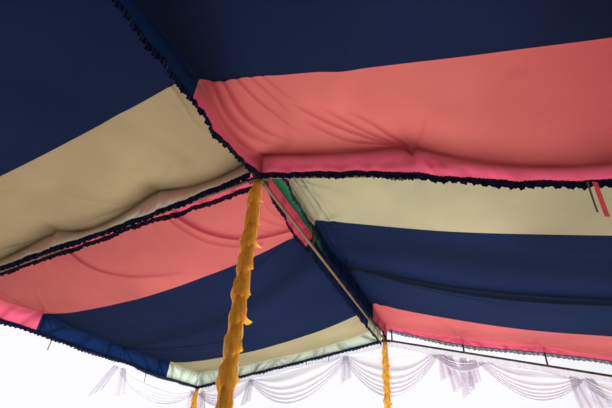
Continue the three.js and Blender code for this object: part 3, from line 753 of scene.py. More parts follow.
            ([(0.14, 0.1), (0.16, 0.6), (0.18, 1.1), (0.14, 1.8)], 0.010, -0.006, 0.9),
            ([(0.17, 0.15), (0.20, 0.6), (0.22, 1.0), (0.2, 1.4)], 0.014, 0.006, -0.7),
            ([(0.06, 1.88), (0.20, 1.85), (0.36, 1.78), (0.5, 1.72)], 0.040, -0.018, 1.0),
            ([(0.06, 1.88), (0.18, 1.76), (0.28, 1.60)], 0.040, -0.018, 1.0),
            ([(0.06, 1.88), (0.12, 1.68), (0.15, 1.45)], 0.036, -0.016, 1.0),
            ([(0.06, 1.88), (0.22, 2.05), (0.36, 2.26)], 0.036, -0.016, 1.0),
            ([(2.93, 0.7), (2.6, 1.1), (2.2, 1.3)], 0.03, -0.014, 0.5),
            ([(0.06, 1.88), (0.4, 2.04), (0.8, 2.16), (1.5, 2.24)], 0.028, -0.016, 1.0),
            ([(0.06, 1.88), (0.12, 1.5), (0.19, 1.2)], 0.012, -0.008, 0.5),
        ],
    },
}

# The tarpaulin: its sag between the beams, how wide it lies flat over them, and its slow ripple
ROOF_SAG = 0.045
BEAM_STRIP = 0.06
ROOF_REST = CHORD_GAP + PIPE_RADIUS / math.cos(SLOPE_ANGLE) + 0.006
ROOF_SEED, ROOF_RIPPLES, RIPPLE_HEIGHT = 5, [1.1, 0.7, 0.45, 0.3], 0.010
# How far it reaches past the posts' lines, how deep its eave hems hang, and how much they flutter
EAVE_OVERHANG, GABLE_OVERHANG, HEM_DROP = 0.118, 0.078, 0.085
FLUTTER_SEED, FLUTTERS, FLUTTER_DEPTH = 8, [0.6, 0.35, 0.2], 0.008


def roof_rise(x, y):
    """Rise of the tarpaulin: it rests on the upper chords and sags between them by sine by sine,
    with a slow unevenness."""
    u = np.clip((np.abs(x) - BEAM_STRIP) / (HALF_WIDTH - 2 * BEAM_STRIP), 0, 1)
    v = np.clip((np.mod(y + BAY, BAY) - BEAM_STRIP) / (BAY - 2 * BEAM_STRIP), 0, 1) * (np.abs(y) < BAY)
    free = np.sin(math.pi * u) * np.sin(math.pi * v)
    uneven = ripple(x, y, ROOF_SEED, ROOF_RIPPLES, RIPPLE_HEIGHT) * np.clip(free * 2, 0, 1)
    return ROOF_REST - ROOF_SAG * free + uneven


def hem_flutter(along):
    """How far the tarpaulin's eave hem stands out: slow unevenness along it."""
    return wander(along, FLUTTER_SEED, FLUTTERS, FLUTTER_DEPTH)


def stations(fine_end, fine, coarse, end):
    """Places along a side: close together as far as the first end, and wider apart beyond it."""
    near = np.arange(CREASE, fine_end, fine)
    return np.r_[near, np.linspace(fine_end, end, int(round((end - fine_end) / coarse)) + 1)]


def fade(distance, reach):
    """How much of an edge's own shape reaches in: 1 at the edge, falling as a squared slope to 0."""
    return np.clip(1 - distance / reach, 0, 1) ** 2


def distance_to(path, a, b):
    """Distance of each place from a path, and the share of the path's length at its nearest point."""
    curve, at = evenly(curve_through(path, 60), 0.02)
    best = np.full(a.shape, 1e9)
    share = np.zeros(a.shape)
    for n in range(len(curve) - 1):
        start, way = curve[n], curve[n + 1] - curve[n]
        t = np.clip(((a - start[0]) * way[0] + (b - start[1]) * way[1]) / max(way @ way, 1e-12), 0, 1)
        away = np.hypot(a - start[0] - t * way[0], b - start[1] - t * way[1])
        closer = away < best
        best = np.where(closer, away, best)
        share = np.where(closer, (at[n] + t * (at[n + 1] - at[n])) / at[-1], share)
    return best, share


# Round a sheet's edges and ties: how far a crease's painted dark line blurs, how far the small gathers reach
# and how near the tie they start, how dark their painted shade is for their height, and the room under the
# tarpaulin
CREASE_BLUR = 0.022
GATHER_REACH, GATHER_START, GATHER_SHADE = 0.16, 0.04, 70
ROOF_CLEARANCE = 0.014
# A fold loses three quarters of its depth along its path, and closes up over the last 15% of it
FOLD_LOSS, FOLD_END = 0.75, 0.15
# A sheet's own slow unevenness
SHEET_RIPPLES, SHEET_RIPPLE_HEIGHT = [1.3, 0.9, 0.6, 0.42], 0.007


def sheet_rise(spec, a, b):
    """Rise of a sheet at (a, b): a plane through its corners, each edge's own shape fading inwards,
    less a bowl of sine by sine. Folds are bells across their paths, deep at the start and shallow
    at the end, and each tie gathers the cloth in spokes that die away from it. It gives back the
    rise, the painted shade along its creases, gathers, valleys and folds, and the painted light of its lit
    strips."""
    inner_a, inner_b = HALF_WIDTH - CREASE, BAY - CREASE
    u = (a - CREASE) / (inner_a - CREASE)
    v = (b - CREASE) / (inner_b - CREASE)
    lines = {name: (spec[name]["ties"], spec[name]["sags"])
             for name in ("middle", "gable", "ridge", "eave")}
    corner = {name: (ties[0][1], ties[-1][1]) for name, (ties, _) in lines.items()}
    rise = ((corner["middle"][0] * (1 - u) + corner["middle"][1] * u) * (1 - v)
            + (corner["gable"][0] * (1 - u) + corner["gable"][1] * u) * v)
    sides = (("middle", u, a, b - CREASE), ("gable", u, a, inner_b - b),
             ("ridge", v, b, a - CREASE), ("eave", v, b, inner_a - a))
    mark = np.zeros(a.shape)
    for name, share, place, away in sides:
        straight = corner[name][0] * (1 - share) + corner[name][1] * share
        rise = rise + fade(away, spec[name]["reach"]) * (hung(place, *lines[name]) - straight)
        # Painted shade: a dark line along each crease, uneven along it
        crease = 0.75 + wander(place, spec["seed"] + 31, [0.7, 0.41, 0.23], 0.25)
        mark = np.maximum(mark, spec[name]["dark"] * crease * np.exp(-(away / CREASE_BLUR) ** 2))
    depth, across, along = spec["bowl"]
    inside = np.clip(np.sin(math.pi * np.clip(u, 0, 1)), 0, 1) ** across
    inside = inside * np.clip(np.sin(math.pi * np.clip(v, 0, 1)), 0, 1) ** along
    rise = rise - depth * inside
    uneven = ripple(a, b, spec["seed"], SHEET_RIPPLES, SHEET_RIPPLE_HEIGHT)
    rise = rise + uneven * np.clip(inside * 3, 0, 1)
    rng = np.random.default_rng(spec["seed"])
    for name, _, place, away in sides:
        for tie, _ in lines[name][0][1:-1]:
            reach = np.hypot(place - tie, away)
            angle = np.arctan2(away, place - tie)
            spokes, phase = rng.integers(9, 13), rng.uniform(0, 2 * math.pi)
            swell = spec["spokes"] * np.exp(-reach / GATHER_REACH) * np.clip(reach / GATHER_START, 0, 1)
            star = np.sin(spokes * angle + phase)
            rise = rise + swell * star
            # Painted shade in the hollows between the gathers' spokes
            mark = np.maximum(mark, GATHER_SHADE * swell * np.clip(-star, 0, 1))
    painted_glow = np.zeros(a.shape)
    valleys = spec.get("valleys", [])
    for n, (path, width, height, dark) in enumerate(valleys + spec["folds"]):
        gap, share = distance_to(path, a, b)
        dying = (1 - FOLD_LOSS * share) * np.clip((1 - share) / FOLD_END, 0, 1)
        strength = np.ones(a.shape) if n < len(valleys) else dying
        bell = np.exp(-(gap / width) ** 2) * strength
        rise = rise + height * bell
        # Painted shade along each valley and fold, and painted light where its darkness is below 0
        mark = np.maximum(mark, dark * np.exp(-(gap / (0.8 * width)) ** 2) * strength)
        painted_glow = np.maximum(painted_glow, -dark * bell)
    return np.minimum(rise, roof_rise(a, spec["bay"] * b) - ROOF_CLEARANCE), mark, painted_glow


# For each bay, the size of the fine faces and of the coarse ones, and how far the fine ones run
# along a and along b. They are finest where the near sheets' gathers lie.
FACE_SIZES = {-1: (0.0105, 0.026, 1.5, 1.1), 1: (0.0145, 0.0165, 1.5, 2.0)}
# A hanging border: its rows of faces, its least height, how quickly it turns down over its edge, and
# its slow and its quick waves, each with their lengths and their depth
FLAP_ROWS = 14
SHORTEST_BORDER = 0.012
EDGE_ROLL = 0.009
BORDER_WAVES = (([0.31, 0.19, 0.13], 0.010), ([0.085, 0.052], 0.0035))
# The rays in a border round each tie: how many a turn, how far they reach and how deep they are. Their
# hollows get painted shade.
RAYS, RAY_REACH, RAY_DEPTH = 15, 0.20, 0.007
# A border hangs still this near a post. Its waves, its painted shade and its painted glow grow over so much
# of its fall, and a crease's painted dark line fades over so much.
POST_CALM = 0.12
WAVE_GROWTH, SHADE_GROWTH, GLOW_GROWTH, CREASE_FADE = 0.1, 0.05, 0.09, 0.008


def ceiling_grid(spec):
    """One ceiling sheet with its four hanging borders as one grid. Past each crease the rows turn
    down: t runs from 0 at the crease to 1 at the hem, the cloth rounds the edge within 10 mm and
    then hangs in slow waves, and round each tie it stands in and out as a sine of the angle about
    the tie. In a corner the two borders share one quarter turn. It gives back the points, the
    cloth's own places, the painted shade of each point, and how far it hangs free, which with the lit strips
    sets how much glow is painted in."""
    fine, coarse, fine_a, fine_b = FACE_SIZES[spec["bay"]]
    a_inner = stations(fine_a, fine, coarse, HALF_WIDTH - CREASE)
    b_inner = stations(fine_b, fine, coarse, BAY - CREASE)
    down = np.linspace(1, 0, FLAP_ROWS + 1)[:-1]
    still = np.zeros(FLAP_ROWS)

    def widened(inner):
        """The places along one side with each end repeated for its border, and how far down the
        first and the last border each one lies."""
        place = np.r_[still + inner[0], inner, still + inner[-1]]
        first = np.r_[down, np.zeros(len(inner)), still]
        last = np.r_[still, np.zeros(len(inner)), down[::-1]]
        return place, first, last

    (pa, fa, la), (pb, fb, lb) = widened(a_inner), widened(b_inner)
    a, b = np.meshgrid(pa, pb, indexing="ij")
    toward_a = fa[:, None] - la[:, None] + 0 * b
    toward_b = fb[None, :] - lb[None, :] + 0 * a
    t = np.maximum(np.abs(toward_a), np.abs(toward_b))
    span = np.maximum(np.hypot(toward_a, toward_b), 1e-9)
    way_a, way_b = toward_a / span, toward_b / span

    crest, mark, painted_glow = sheet_rise(spec, a, b)
    hems = {name: smooth_table(place, spec[name]["hem"])
            for name, place in (("ridge", b), ("eave", b), ("middle", a), ("gable", a))}
    hem_a = np.where(toward_a > 0, hems["ridge"], hems["eave"])
    hem_b = np.where(toward_b > 0, hems["middle"], hems["gable"])
    shared = way_a**2 * hem_a + way_b**2 * hem_b
    hem = np.where(np.abs(toward_a) < 1e-9, hem_b, np.where(np.abs(toward_b) < 1e-9, hem_a, shared))
    drop = np.maximum(crest - hem, SHORTEST_BORDER)
    fallen = t * drop
    s = a + b
    wave = sum(wander(s, spec["seed"] + n, *waves) for n, waves in enumerate(BORDER_WAVES, 1))
    from_post_a = np.minimum(a - CREASE, HALF_WIDTH - CREASE - a)
    from_post_b = np.minimum(b - CREASE, BAY - CREASE - b)
    calm = ease(np.maximum(from_post_a, from_post_b) / POST_CALM)
    star, shade = np.zeros(a.shape), np.zeros(a.shape)
    for name, place, toward in (("ridge", b, toward_a), ("eave", b, -toward_a), ("middle", a, toward_b),
                                ("gable", a, -toward_b)):
        for n, (tie, _) in enumerate(spec[name]["ties"][1:-1]):
            near_tie = np.exp(-np.hypot(place - tie, 1.5 * fallen) / RAY_REACH) * (toward > 0)
            rays = np.sin(RAYS * np.arctan2(fallen + 0.02, place - tie) + n)
            # Painted shade in the hollows between the rays
            star, shade = star + near_tie * rays, np.maximum(shade, near_tie * (0.5 - 0.5 * rays))
    out = (CREASE - HANG) * (1 - np.exp(-fallen / EDGE_ROLL))
    out = out + (wave + RAY_DEPTH * star) * calm * ease(fallen / WAVE_GROWTH)
    out = np.where(t > 0, out, 0)
    x = spec["side"] * (a - out * way_a)
    y = spec["bay"] * (b - out * way_b)
    z = lower_chord(a) + crest - fallen
    amount, width, fall_off = spec["pull"]
    pull = amount * np.exp(-(a - CREASE) / width - fallen / fall_off)
    uv = np.stack([a - toward_a * drop, b - toward_b * drop - pull], axis=-1)
    # The crease's painted dark line fades down the border, and slanting streaks of painted shade run down it,
    # scaled by its flap value. Its painted glow grows as it falls and on the lit strips.
    mark = mark * np.where(t > 0, np.exp(-fallen / CREASE_FADE), 1)
    slanted = s + 1.3 * fallen * np.sin(2.1 * s + spec["seed"])
    slow = wander(slanted, spec["seed"] + 41, [0.31, 0.17, 0.09, 0.043], 0.75) * spec["flap"]
    shade = np.maximum(np.clip(slow, 0, 1), shade * spec["flap"])
    mark = np.maximum(mark, shade * ease(fallen / SHADE_GROWTH))
    free = np.maximum(ease(fallen / GLOW_GROWTH), painted_glow)
    return np.stack([x, y, z], axis=-1), uv, np.clip(mark, 0, 1), free


def perimeter(grid):
    """The grid's outermost points in order, back to the first."""
    return np.vstack([grid[:-1, 0], grid[-1, :-1], grid[:0:-1, -1], grid[0, :0:-1], grid[:1, 0]])


def trim_grid(hem, spec, sizes):
    """A ruffle sewn along a hem: it hangs by its height, and stands out to each side as a sine of
    the distance along the hem, growing from its stitched top to its free lower edge."""
    path, s = evenly(hem, sizes.trim_wave / 6)
    seed = spec["seed"]
    along = unit(np.gradient(path * np.array([1.0, 1.0, 0.0]), axis=0))
    out = np.cross(along, (0, 0, 1.0)) * spec["side"] * spec["bay"]
    r = np.linspace(0, 1, 7)[None, :]
    turn = 2 * math.pi * s / sizes.trim_wave + 8 * wander(s, seed, [0.33, 0.21, 0.08], 0.4)
    size = sizes.trim_depth * (0.85 + wander(s, seed + 5, [0.27, 0.17, 0.11], 0.5))
    shift = (size * np.sin(turn))[:, None] * (0.1 + 0.9 * r**0.8)
    shift = shift + (size * 0.5 * np.sin(0.43 * turn + 1))[:, None] * r
    height = sizes.trim_height * spec["trim"]
    fall = height * (1 + wander(s, seed + 9, [0.5, 0.3, 0.07, 0.03], 0.14))[:, None] * r
    fall = fall + (0.005 * np.cos(0.43 * turn) + 0.0025 * np.cos(turn))[:, None] * r - 0.004
    grid = path[:, None] + out[:, None] * shift[..., None] - fall[..., None] * np.array([0, 0, 1.0])
    uv = np.stack([s[:, None] + 0 * r, sizes.trim_height * r + 0 * s[:, None]], axis=-1)
    # Darker and closed near the stitched top and the bound lower edge, and painted shade that follows the
    # ruffle's waves
    bound = np.maximum(np.clip(1.6 - 5 * r, 0, 1), 0.9 * np.exp(-((1 - r) / 0.12) ** 2))
    mark = np.maximum(0.35 - 0.15 * np.sin(turn)[:, None] - 0.25 * np.sin(0.31 * turn)[:, None], bound)
    return grid, uv, np.clip(mark, 0, 1)


# Operators

def settings_of(context):
    """The scene's tent sizes and its dyes."""
    return context.scene.tent_sizes, context.scene.tent_dyes


# The eye that took the view, in metres and radians, and its sensor's width in millimetres
EYE = (1.2008, -1.9555, 1.7306)
PITCH, YAW, ROLL = 0.5774, -0.4058, 0.069
SENSOR = 36.0
FLOOR_REACH = 22.0
FLOOR_BELOW = 0.0005
# Daylight comes from the far left. The world's light runs from dim behind the eye to bright there.
DAYLIGHT = (-0.62, 0.78, 0.05)
DIM_SIDE, BRIGHT_SIDE, WORLD_STRENGTH = "#5c5e63", "#fbfbff", 1.02
# Lamps: place, aim, width in metres and power in watts. The last is light thrown up by the floor.
LAMPS = {
    "sky_left": ((-9.0, 3.0, 3.4), (0.0, 1.5, 3.0), 5.0, 420.0),
    "sky_far": ((1.5, 12.0, 3.4), (0.0, 2.0, 3.2), 5.0, 300.0),
    "under_fill": ((0.5, 2.1, 0.15), (0.6, 2.2, 3.0), 3.4, 225.0),
}


class TENT_OT_stage(bpy.types.Operator):
    """Adds the camera, the pale floor and the soft light"""
    bl_idname = "tent.stage"
    bl_label = "Stage"

    def execute(self, context):
        sizes, dyes = settings_of(context)
        cp, sp, cy, sy, cr, sr = (f(v) for v in (PITCH, YAW, ROLL) for f in (math.cos, math.sin))
        forward = np.array([cp * sy, cp * cy, sp])
        right, up = np.array([cy, -sy, 0.0]), np.array([-sp * sy, -sp * cy, cp])
        turned = np.stack([cr * right + sr * up, cr * up - sr * right, -forward], axis=1)
        lens = bpy.data.cameras.new("view")
        lens.lens = sizes.lens
        lens.sensor_width = SENSOR
        lens.clip_start, lens.clip_end = 0.05, 200.0
        camera = bpy.data.objects.new("view", lens)
        camera.matrix_world = Matrix.Translation(EYE) @ Matrix(turned.tolist()).to_4x4()
        context.scene.collection.objects.link(camera)
        context.scene.camera = camera
        context.scene.view_settings.view_transform = "Standard"

        spread = np.linspace(-FLOOR_REACH, FLOOR_REACH, 3)
        x, y = np.meshgrid(spread, spread, indexing="ij")
        floor = Surfaces().add(np.stack([x, y, 0 * x - FLOOR_BELOW], axis=-1))
        matt = material_of("studio_floor", studio_floor, tuple(dyes.floor))
        floor.make("studio_floor", matt, part=False)

        world = bpy.data.worlds.new("soft_studio")
        world.use_nodes = True
        tree = world.node_tree
        tree.nodes.clear()
        way = node(tree, "TexCoord", take="Generated")
        toward = node(tree, "VectorMath", {0: way, 1: DAYLIGHT}, take="Value", operation="DOT_PRODUCT")
        toward = node(tree, "MapRange", {0: toward, 1: -1.0, 2: 1.0})
        sides = ((0.3, paint(DIM_SIDE)), (0.86, paint(BRIGHT_SIDE)))
        glow = node(tree, "ValToRGB", {0: toward}, stops=sides)
        light = node(tree, "Background", {"Color": glow, "Strength": WORLD_STRENGTH})
        node(tree, "OutputWorld", {"Surface": light})
        context.scene.world = world

        for name, (place, aim, size, power) in LAMPS.items():
            lamp = bpy.data.lights.new(name, "AREA")
            lamp.shape, lamp.size, lamp.energy = "SQUARE", size, power
            holder = bpy.data.objects.new(name, lamp)
            back = unit(np.array(place) - np.array(aim))
            first = unit(np.cross((0, 0, 1.0), back))
            turned = np.stack([first, np.cross(back, first), back], axis=1)
            holder.matrix_world = Matrix.Translation(place) @ Matrix(turned.tolist()).to_4x4()
            holder.visible_camera = False
            context.scene.collection.objects.link(holder)
        return {"FINISHED"}


# A post: its foot plate and bolts, its collars round both pipes' ends, and the saddles under the pipes
FOOT_WIDTH, FOOT_THICK, FOOT_CORNER = 0.16, 0.006, 0.012
BOLT_OUT, BOLT_WIDTH, BOLT_HEIGHT = 0.055, 0.018, 0.007
COLLAR_HEIGHT, COLLAR_DROP, COLLAR_CORNER = 0.040, 0.008, 0.005
SADDLE_OUT, SADDLE_LONG, SADDLE_WIDE, SADDLE_THICK, SADDLE_DROP = 0.053, 0.054, 0.036, 0.006, 0.0033
POST_ABOVE = 0.012
# Clear gap between a pipe's end and its collar
COLLAR_GAP = 0.0003
# A beam's stubs: how far from its ends they stand, and their radius as a share of the pipes'
STUB_INSET = 0.07
STUB_SHARE = 0.8


class TENT_OT_posts(bpy.types.Operator):
    """Adds the nine posts with their foot plates, collars and saddles"""
    bl_idname = "tent.posts"
    bl_label = "Posts"

    def execute(self, context):
        _, dyes = settings_of(context)
        for line, x in LINES.items():
            for row, y in ROWS.items():
                post = Surfaces()
                low, high = lower_chord(x), lower_chord(x) + CHORD_GAP
                plate(post, (x, y, FOOT_THICK / 2), FOOT_WIDTH, FOOT_WIDTH, FOOT_THICK, FOOT_CORNER)
                weld(post, (x, y, FOOT_THICK), (0, 0, 1), POST_RADIUS)
                for dx in (-BOLT_OUT, BOLT_OUT):
                    for dy in (-BOLT_OUT, BOLT_OUT):
                        bolt = (x + dx, y + dy, FOOT_THICK + BOLT_HEIGHT / 2)
                        plate(post, bolt, BOLT_WIDTH, BOLT_WIDTH, BOLT_HEIGHT, 0.005, 0.0, 0.0015)
                pipe(post, (x, y, FOOT_THICK / 2), (x, y, high + POST_ABOVE), POST_RADIUS, 28)
                for z in (low, high):
                    plate(post, (x, y, z - COLLAR_DROP), COLLAR, COLLAR, COLLAR_HEIGHT, COLLAR_CORNER)
                    weld(post, (x, y, z - COLLAR_DROP - COLLAR_HEIGHT / 2), (0, 0, 1), POST_RADIUS)
                    # One saddle for each beam that meets the post, tilted with the rafters
                    under = -PIPE_RADIUS - SADDLE_DROP
                    for side in (s for s in (-1, 1) if abs(x + s) < HALF_WIDTH + 0.5):
                        tilt = math.copysign(SLOPE_ANGLE, x if x else side)
                        aside = side * SADDLE_OUT * math.cos(tilt) + under * math.sin(tilt)
                        rise = under * math.cos(tilt) - side * SADDLE_OUT * math.sin(tilt)
                        saddle = (x + aside, y, z + rise)
                        plate(post, saddle, SADDLE_LONG, SADDLE_WIDE, SADDLE_THICK, turn=tilt)
                    for side in (s for s in (-1, 1) if abs(y + s) < BAY + 0.5):
                        saddle = (x, y + side * SADDLE_OUT, z + under)
                        plate(post, saddle, SADDLE_WIDE, SADDLE_LONG, SADDLE_THICK)
                post.make(f"steel_post_{line}_{row}", steel(dyes), [f"post_{line}_{row}"], "steel")
        return {"FINISHED"}


def beam(start, end, count):
    """A beam of two pipes, one over the other, joined by upright stubs with welds at their ends."""
    surfaces = Surfaces()
    start, end = np.array(start, float), np.array(end, float)
    up = np.array([0, 0, CHORD_GAP])
    pipe(surfaces, start, end, PIPE_RADIUS, 20)
    pipe(surfaces, start + up, end + up, PIPE_RADIUS, 20)
    length = np.linalg.norm(end - start)
    thin, surface = PIPE_RADIUS * STUB_SHARE, PIPE_RADIUS * 0.95
    for share in np.linspace(STUB_INSET, length - STUB_INSET, count) / length:
        foot = start + share * (end - start)
        pipe(surfaces, foot, foot + up, thin, 14)
        for z in (surface, CHORD_GAP - surface):
            weld(surfaces, foot + (0, 0, z), (0, 0, 1), thin, 0.002, 20)
    return surfaces


class TENT_OT_beams(bpy.types.Operator):
    """Adds the rafters, the ridge beams and the eave beams"""
    bl_idname = "tent.beams"
    bl_label = "Beams"

    def execute(self, context):
        _, dyes = settings_of(context)
        rust = material_of("weathered_steel", painted_steel, tuple(dyes.rust), paint(BARE_RUST), 0.3)
        inner = COLLAR / 2 + COLLAR_GAP + PIPE_RADIUS * math.sin(SLOPE_ANGLE)
        for row, y in ROWS.items():
            finish = rust if row == "middle" else steel(dyes)
            for name, side in (("left", -1), ("right", 1)):
                ends = [(side * x, y, lower_chord(x)) for x in (inner, HALF_WIDTH - inner)]
                beam(*ends, 4).make(f"pipe_rafter_{name}_{row}", finish, [f"rafter_{name}_{row}"], "steel")
        for bay, middle in (("near", -BAY / 2), ("far", BAY / 2)):
            reach = BAY / 2 - COLLAR / 2 - COLLAR_GAP
            for name, x, finish, slot in (("ridge_beam", 0.0, rust, "rusted_steel"),
                                          ("eave_beam_left", -HALF_WIDTH, steel(dyes), "steel"),
                                          ("eave_beam_right", HALF_WIDTH, steel(dyes), "steel")):
                ends = [(x, middle + s * reach, lower_chord(x)) for s in (-1, 1)]
                beam(*ends, 5).make(f"pipe_{name}_{bay}", finish, [f"{name}_{bay}"], slot)
        return {"FINISHED"}


class TENT_OT_ceilings(bpy.types.Operator):
    """Adds the four striped ceiling sheets and their ruffled trims"""
    bl_idname = "tent.ceilings"
    bl_label = "Ceiling sheets"

    def execute(self, context):
        sizes, dyes = settings_of(context)
        navies = (tuple(dyes.trim), tuple(dyes.trim_depth))
        for name, spec in CEILINGS.items():
            grid, uv, mark, hang = ceiling_grid(spec)
            dyed = [[tuple(getattr(dyes, stripe + kind)) for stripe in spec["stripes"]]
                    for kind in ("", "_glow", "_deep")]
            sewn = (spec["seams"], spec["thin"], spec["glow"])
            weave = material_of(f"polyester_lining_{name}", lining, *dyed, *sewn)
            cloth = Surfaces().add(grid, uv, mark, hang)
            cloth = cloth.make(f"lining_{name}", weave, [f"ceiling_{name}"], "lining")
            ruffle = material_of(f"navy_organza_{name}", sheer, *navies, spec["closed"], 0.06, 0.04)
            trim = Surfaces().add(*trim_grid(perimeter(grid), spec, sizes))
            edging = trim.make(f"ruffle_{name}", ruffle, (), "lining")
        return {"FINISHED"}


class TENT_OT_tarpaulin(bpy.types.Operator):
    """Adds the roof tarpaulin: past the eaves its rows turn down into hems that flutter a little"""
    bl_idname = "tent.tarpaulin"
    bl_label = "Tarpaulin"

    def execute(self, context):
        _, dyes = settings_of(context)
        half_x, half_y = HALF_WIDTH + EAVE_OVERHANG, BAY + GABLE_OVERHANG
        reach = half_x + HEM_DROP
        across, along = np.linspace(-reach, reach, 261), np.linspace(-half_y, half_y, 273)
        across, along = np.meshgrid(across, along, indexing="ij")
        over = np.maximum(np.abs(across) - half_x, 0)
        x = np.sign(across) * np.minimum(np.abs(across), half_x)
        z = lower_chord(x) + roof_rise(np.abs(x), along) - over
        x = x + np.sign(across) * hem_flutter(along) * np.clip(over / 0.05, 0, 1)
        roof = Surfaces().add(np.stack([x, along, z], axis=-1), np.stack([across, along], axis=-1))
        coat = material_of("green_polyethylene_tarpaulin", tarpaulin, tuple(dyes.tarp), paint(ROOF_DUST))
        cover = roof.make("tarpaulin_cover", coat, ["roof_tarpaulin"], "tarpaulin")
        return {"FINISHED"}


# A wrap: the height of its foot, its head's drop below the chord, how much wider than one turn the
# strip is, and the radius of the plain layer under it
WRAP_FOOT, WRAP_HEAD = 0.18, 0.034
STRIP_SHARE = 1.10
CORE_RADIUS = 0.0285


def facing(angle, way, width):
    """A bell round a post: 1 where the strip's angle faces that way, falling off over the width."""
    return np.exp(-((np.mod(-angle - way + math.pi, 2 * math.pi) - math.pi) / width) ** 2)


def wrap_grid(x, y, foot, head, sizes, seed):
    """A gathered strip wound down a post. Its centre falls one pitch a turn; across the strip the
    radius grows as a power of the share from its tucked upper edge to its free lower frill, which
    is ruffled by sines of the turning angle. Once a turn the frill throws out a pointed flag on one
    side and the strip bulges on the other, both bells of the angle."""
    turns = (head - foot - 0.02) / sizes.wrap_pitch
    angle = np.linspace(0, turns * 2 * math.pi, int(turns * 60))[:, None]
    w = np.linspace(0, 1, 16)[None, :]
    p = np.random.default_rng(seed).uniform(0, 2 * math.pi, 6)
    each = 0.8 + 0.45 * np.sin(0.61 * angle + p[0]) + 0.3 * np.sin(0.29 * angle + p[4])
    flag = facing(angle, 0.4 - 0.5 * np.sin(0.37 * angle + p[1]), 0.34) * np.maximum(each, 0.5)
    leaf = facing(angle, 3.6, 0.75) * (2 - each)
    strip = sizes.wrap_pitch * STRIP_SHARE
    lean = 0.012 * np.sin(angle * 2.3 + p[2]) + 0.006 * np.sin(angle * 7 + p[3])
    fallen = (angle + 0.55 * np.sin(angle + 2.13)) / (2 * math.pi)
    z = head - sizes.wrap_pitch * fallen - strip * w + lean * w + 0.010 * flag * w**4
    z = np.clip(z, foot, head)
    frill = 0.009 * w**5 + sizes.wrap_frill * flag * w**6
    bulge = 0.5 * sizes.wrap_frill * leaf * np.sin(math.pi * np.clip(w * 1.05, 0, 1)) ** 1.5
    ruffle = (0.0022 * np.sin(6 * angle + p[2]) + 0.0016 * np.sin(13 * angle + p[3])) * w**2
    gather = (0.0026 * np.sin(11 * angle + 6 * w + p[4]) + 0.0018 * np.sin(23 * angle - 7 * w)
              + 0.0026 * np.sin(4.3 * angle + 11 * w + p[5])) * np.sin(math.pi * w)
    radius = sizes.wrap_radius - 0.003 + 0.004 * np.sin(math.pi * w) + frill + bulge + ruffle + gather
    radius = np.maximum(radius, POST_RADIUS + 0.004)
    grid = np.stack([x + radius * np.cos(-angle), y + radius * np.sin(-angle), z], axis=-1)
    uv = np.stack([angle * sizes.wrap_radius + 0 * w, strip * w + 0 * angle], axis=-1)
    # Painted shade under each turn's frill, at the strip's tucked upper edge, and in the ruffle's hollows
    mark = np.exp(-w / 0.11) + 0.3 * np.clip(-np.sin(6 * angle + p[2]), 0, 1) * w**2
    return grid, uv, np.clip(mark, 0, 1)


class TENT_OT_wraps(bpy.types.Operator):
    """Adds the gathered orange wraps on the posts"""
    bl_idname = "tent.wraps"
    bl_label = "Post wraps"

    def execute(self, context):
        sizes, dyes = settings_of(context)
        oranges = (tuple(dyes.orange), tuple(dyes.orange_shade_dye))
        shine = material_of("orange_satin_wrap", satin, *oranges, 0.42, 1.0, 0.5)
        for n, (line, x) in enumerate(LINES.items()):
            for m, (row, y) in enumerate(ROWS.items()):
                foot, head = WRAP_FOOT, lower_chord(x) - WRAP_HEAD
                wrap = Surfaces().add(*wrap_grid(x, y, foot, head, sizes, 100 + 10 * n + m))
                z = np.linspace(foot + 0.005, head, 40)
                middle = np.stack([0 * z + x, 0 * z + y, z], axis=-1)
                core = carried(middle, circle(0 * z + CORE_RADIUS, 20), (0, 1.0, 0))
                # The plain layer under the strip is painted wholly in the wraps' shade colour
                wrap.add(core, mark=np.ones(core.shape[:2]), ring=True)
                replaced = [f"post_wrap_{line}_{row}"]
                piece = wrap.make(f"gathered_wrap_{line}_{row}", shine, replaced, "orange_cloth")
        return {"FINISHED"}


# Valances: the ties' places along a gable, and the height of each swag's lowest point
GABLE_TIES = (-3.0, -2.1, -0.6, 0.66, 1.23, 2.28, 3.0)
SWAG_FLOORS = (2.55, 2.56, 2.67, 2.98, 2.62, 2.56)
# Each tail's place, its drop and how far it leans sideways
GABLE_TAILS = ((-2.93, 0.36, 0.0), (-2.1, 0.40, -0.05), (-0.6, 0.40, 0.0), (0.74, 0.34, 0.05),
               (0.84, 0.46, 0.07), (1.0, 0.50, 0.02), (1.13, 0.34, -0.03), (2.22, 0.42, 0.06),
               (2.36, 0.38, 0.10), (2.93, 0.36, 0.0))
EAVE_TAILS = ((2.30, 0.40, -0.22), (2.42, 0.36, 0.05), (3.97, 0.32, 0.0))
# The header's and the swag's two ends along an eave, and the height of that swag's lowest point
EAVE_HEADER, EAVE_SWAG, EAVE_SWAG_FLOOR = (2.2, 4.03), (2.33, 4.03), 2.45
# How far the voile hangs outside the gables' and the eaves' centrelines
STANDOFF, EAVE_STANDOFF = 0.080, 0.062
# The header's half length on a gable, its top over the chord's centreline, and its height
GABLE_REACH, HEADER_RISE, HEADER = 2.99, 0.016, 0.082
# How far up into the header a tail is tucked
TAIL_TUCK = 0.01


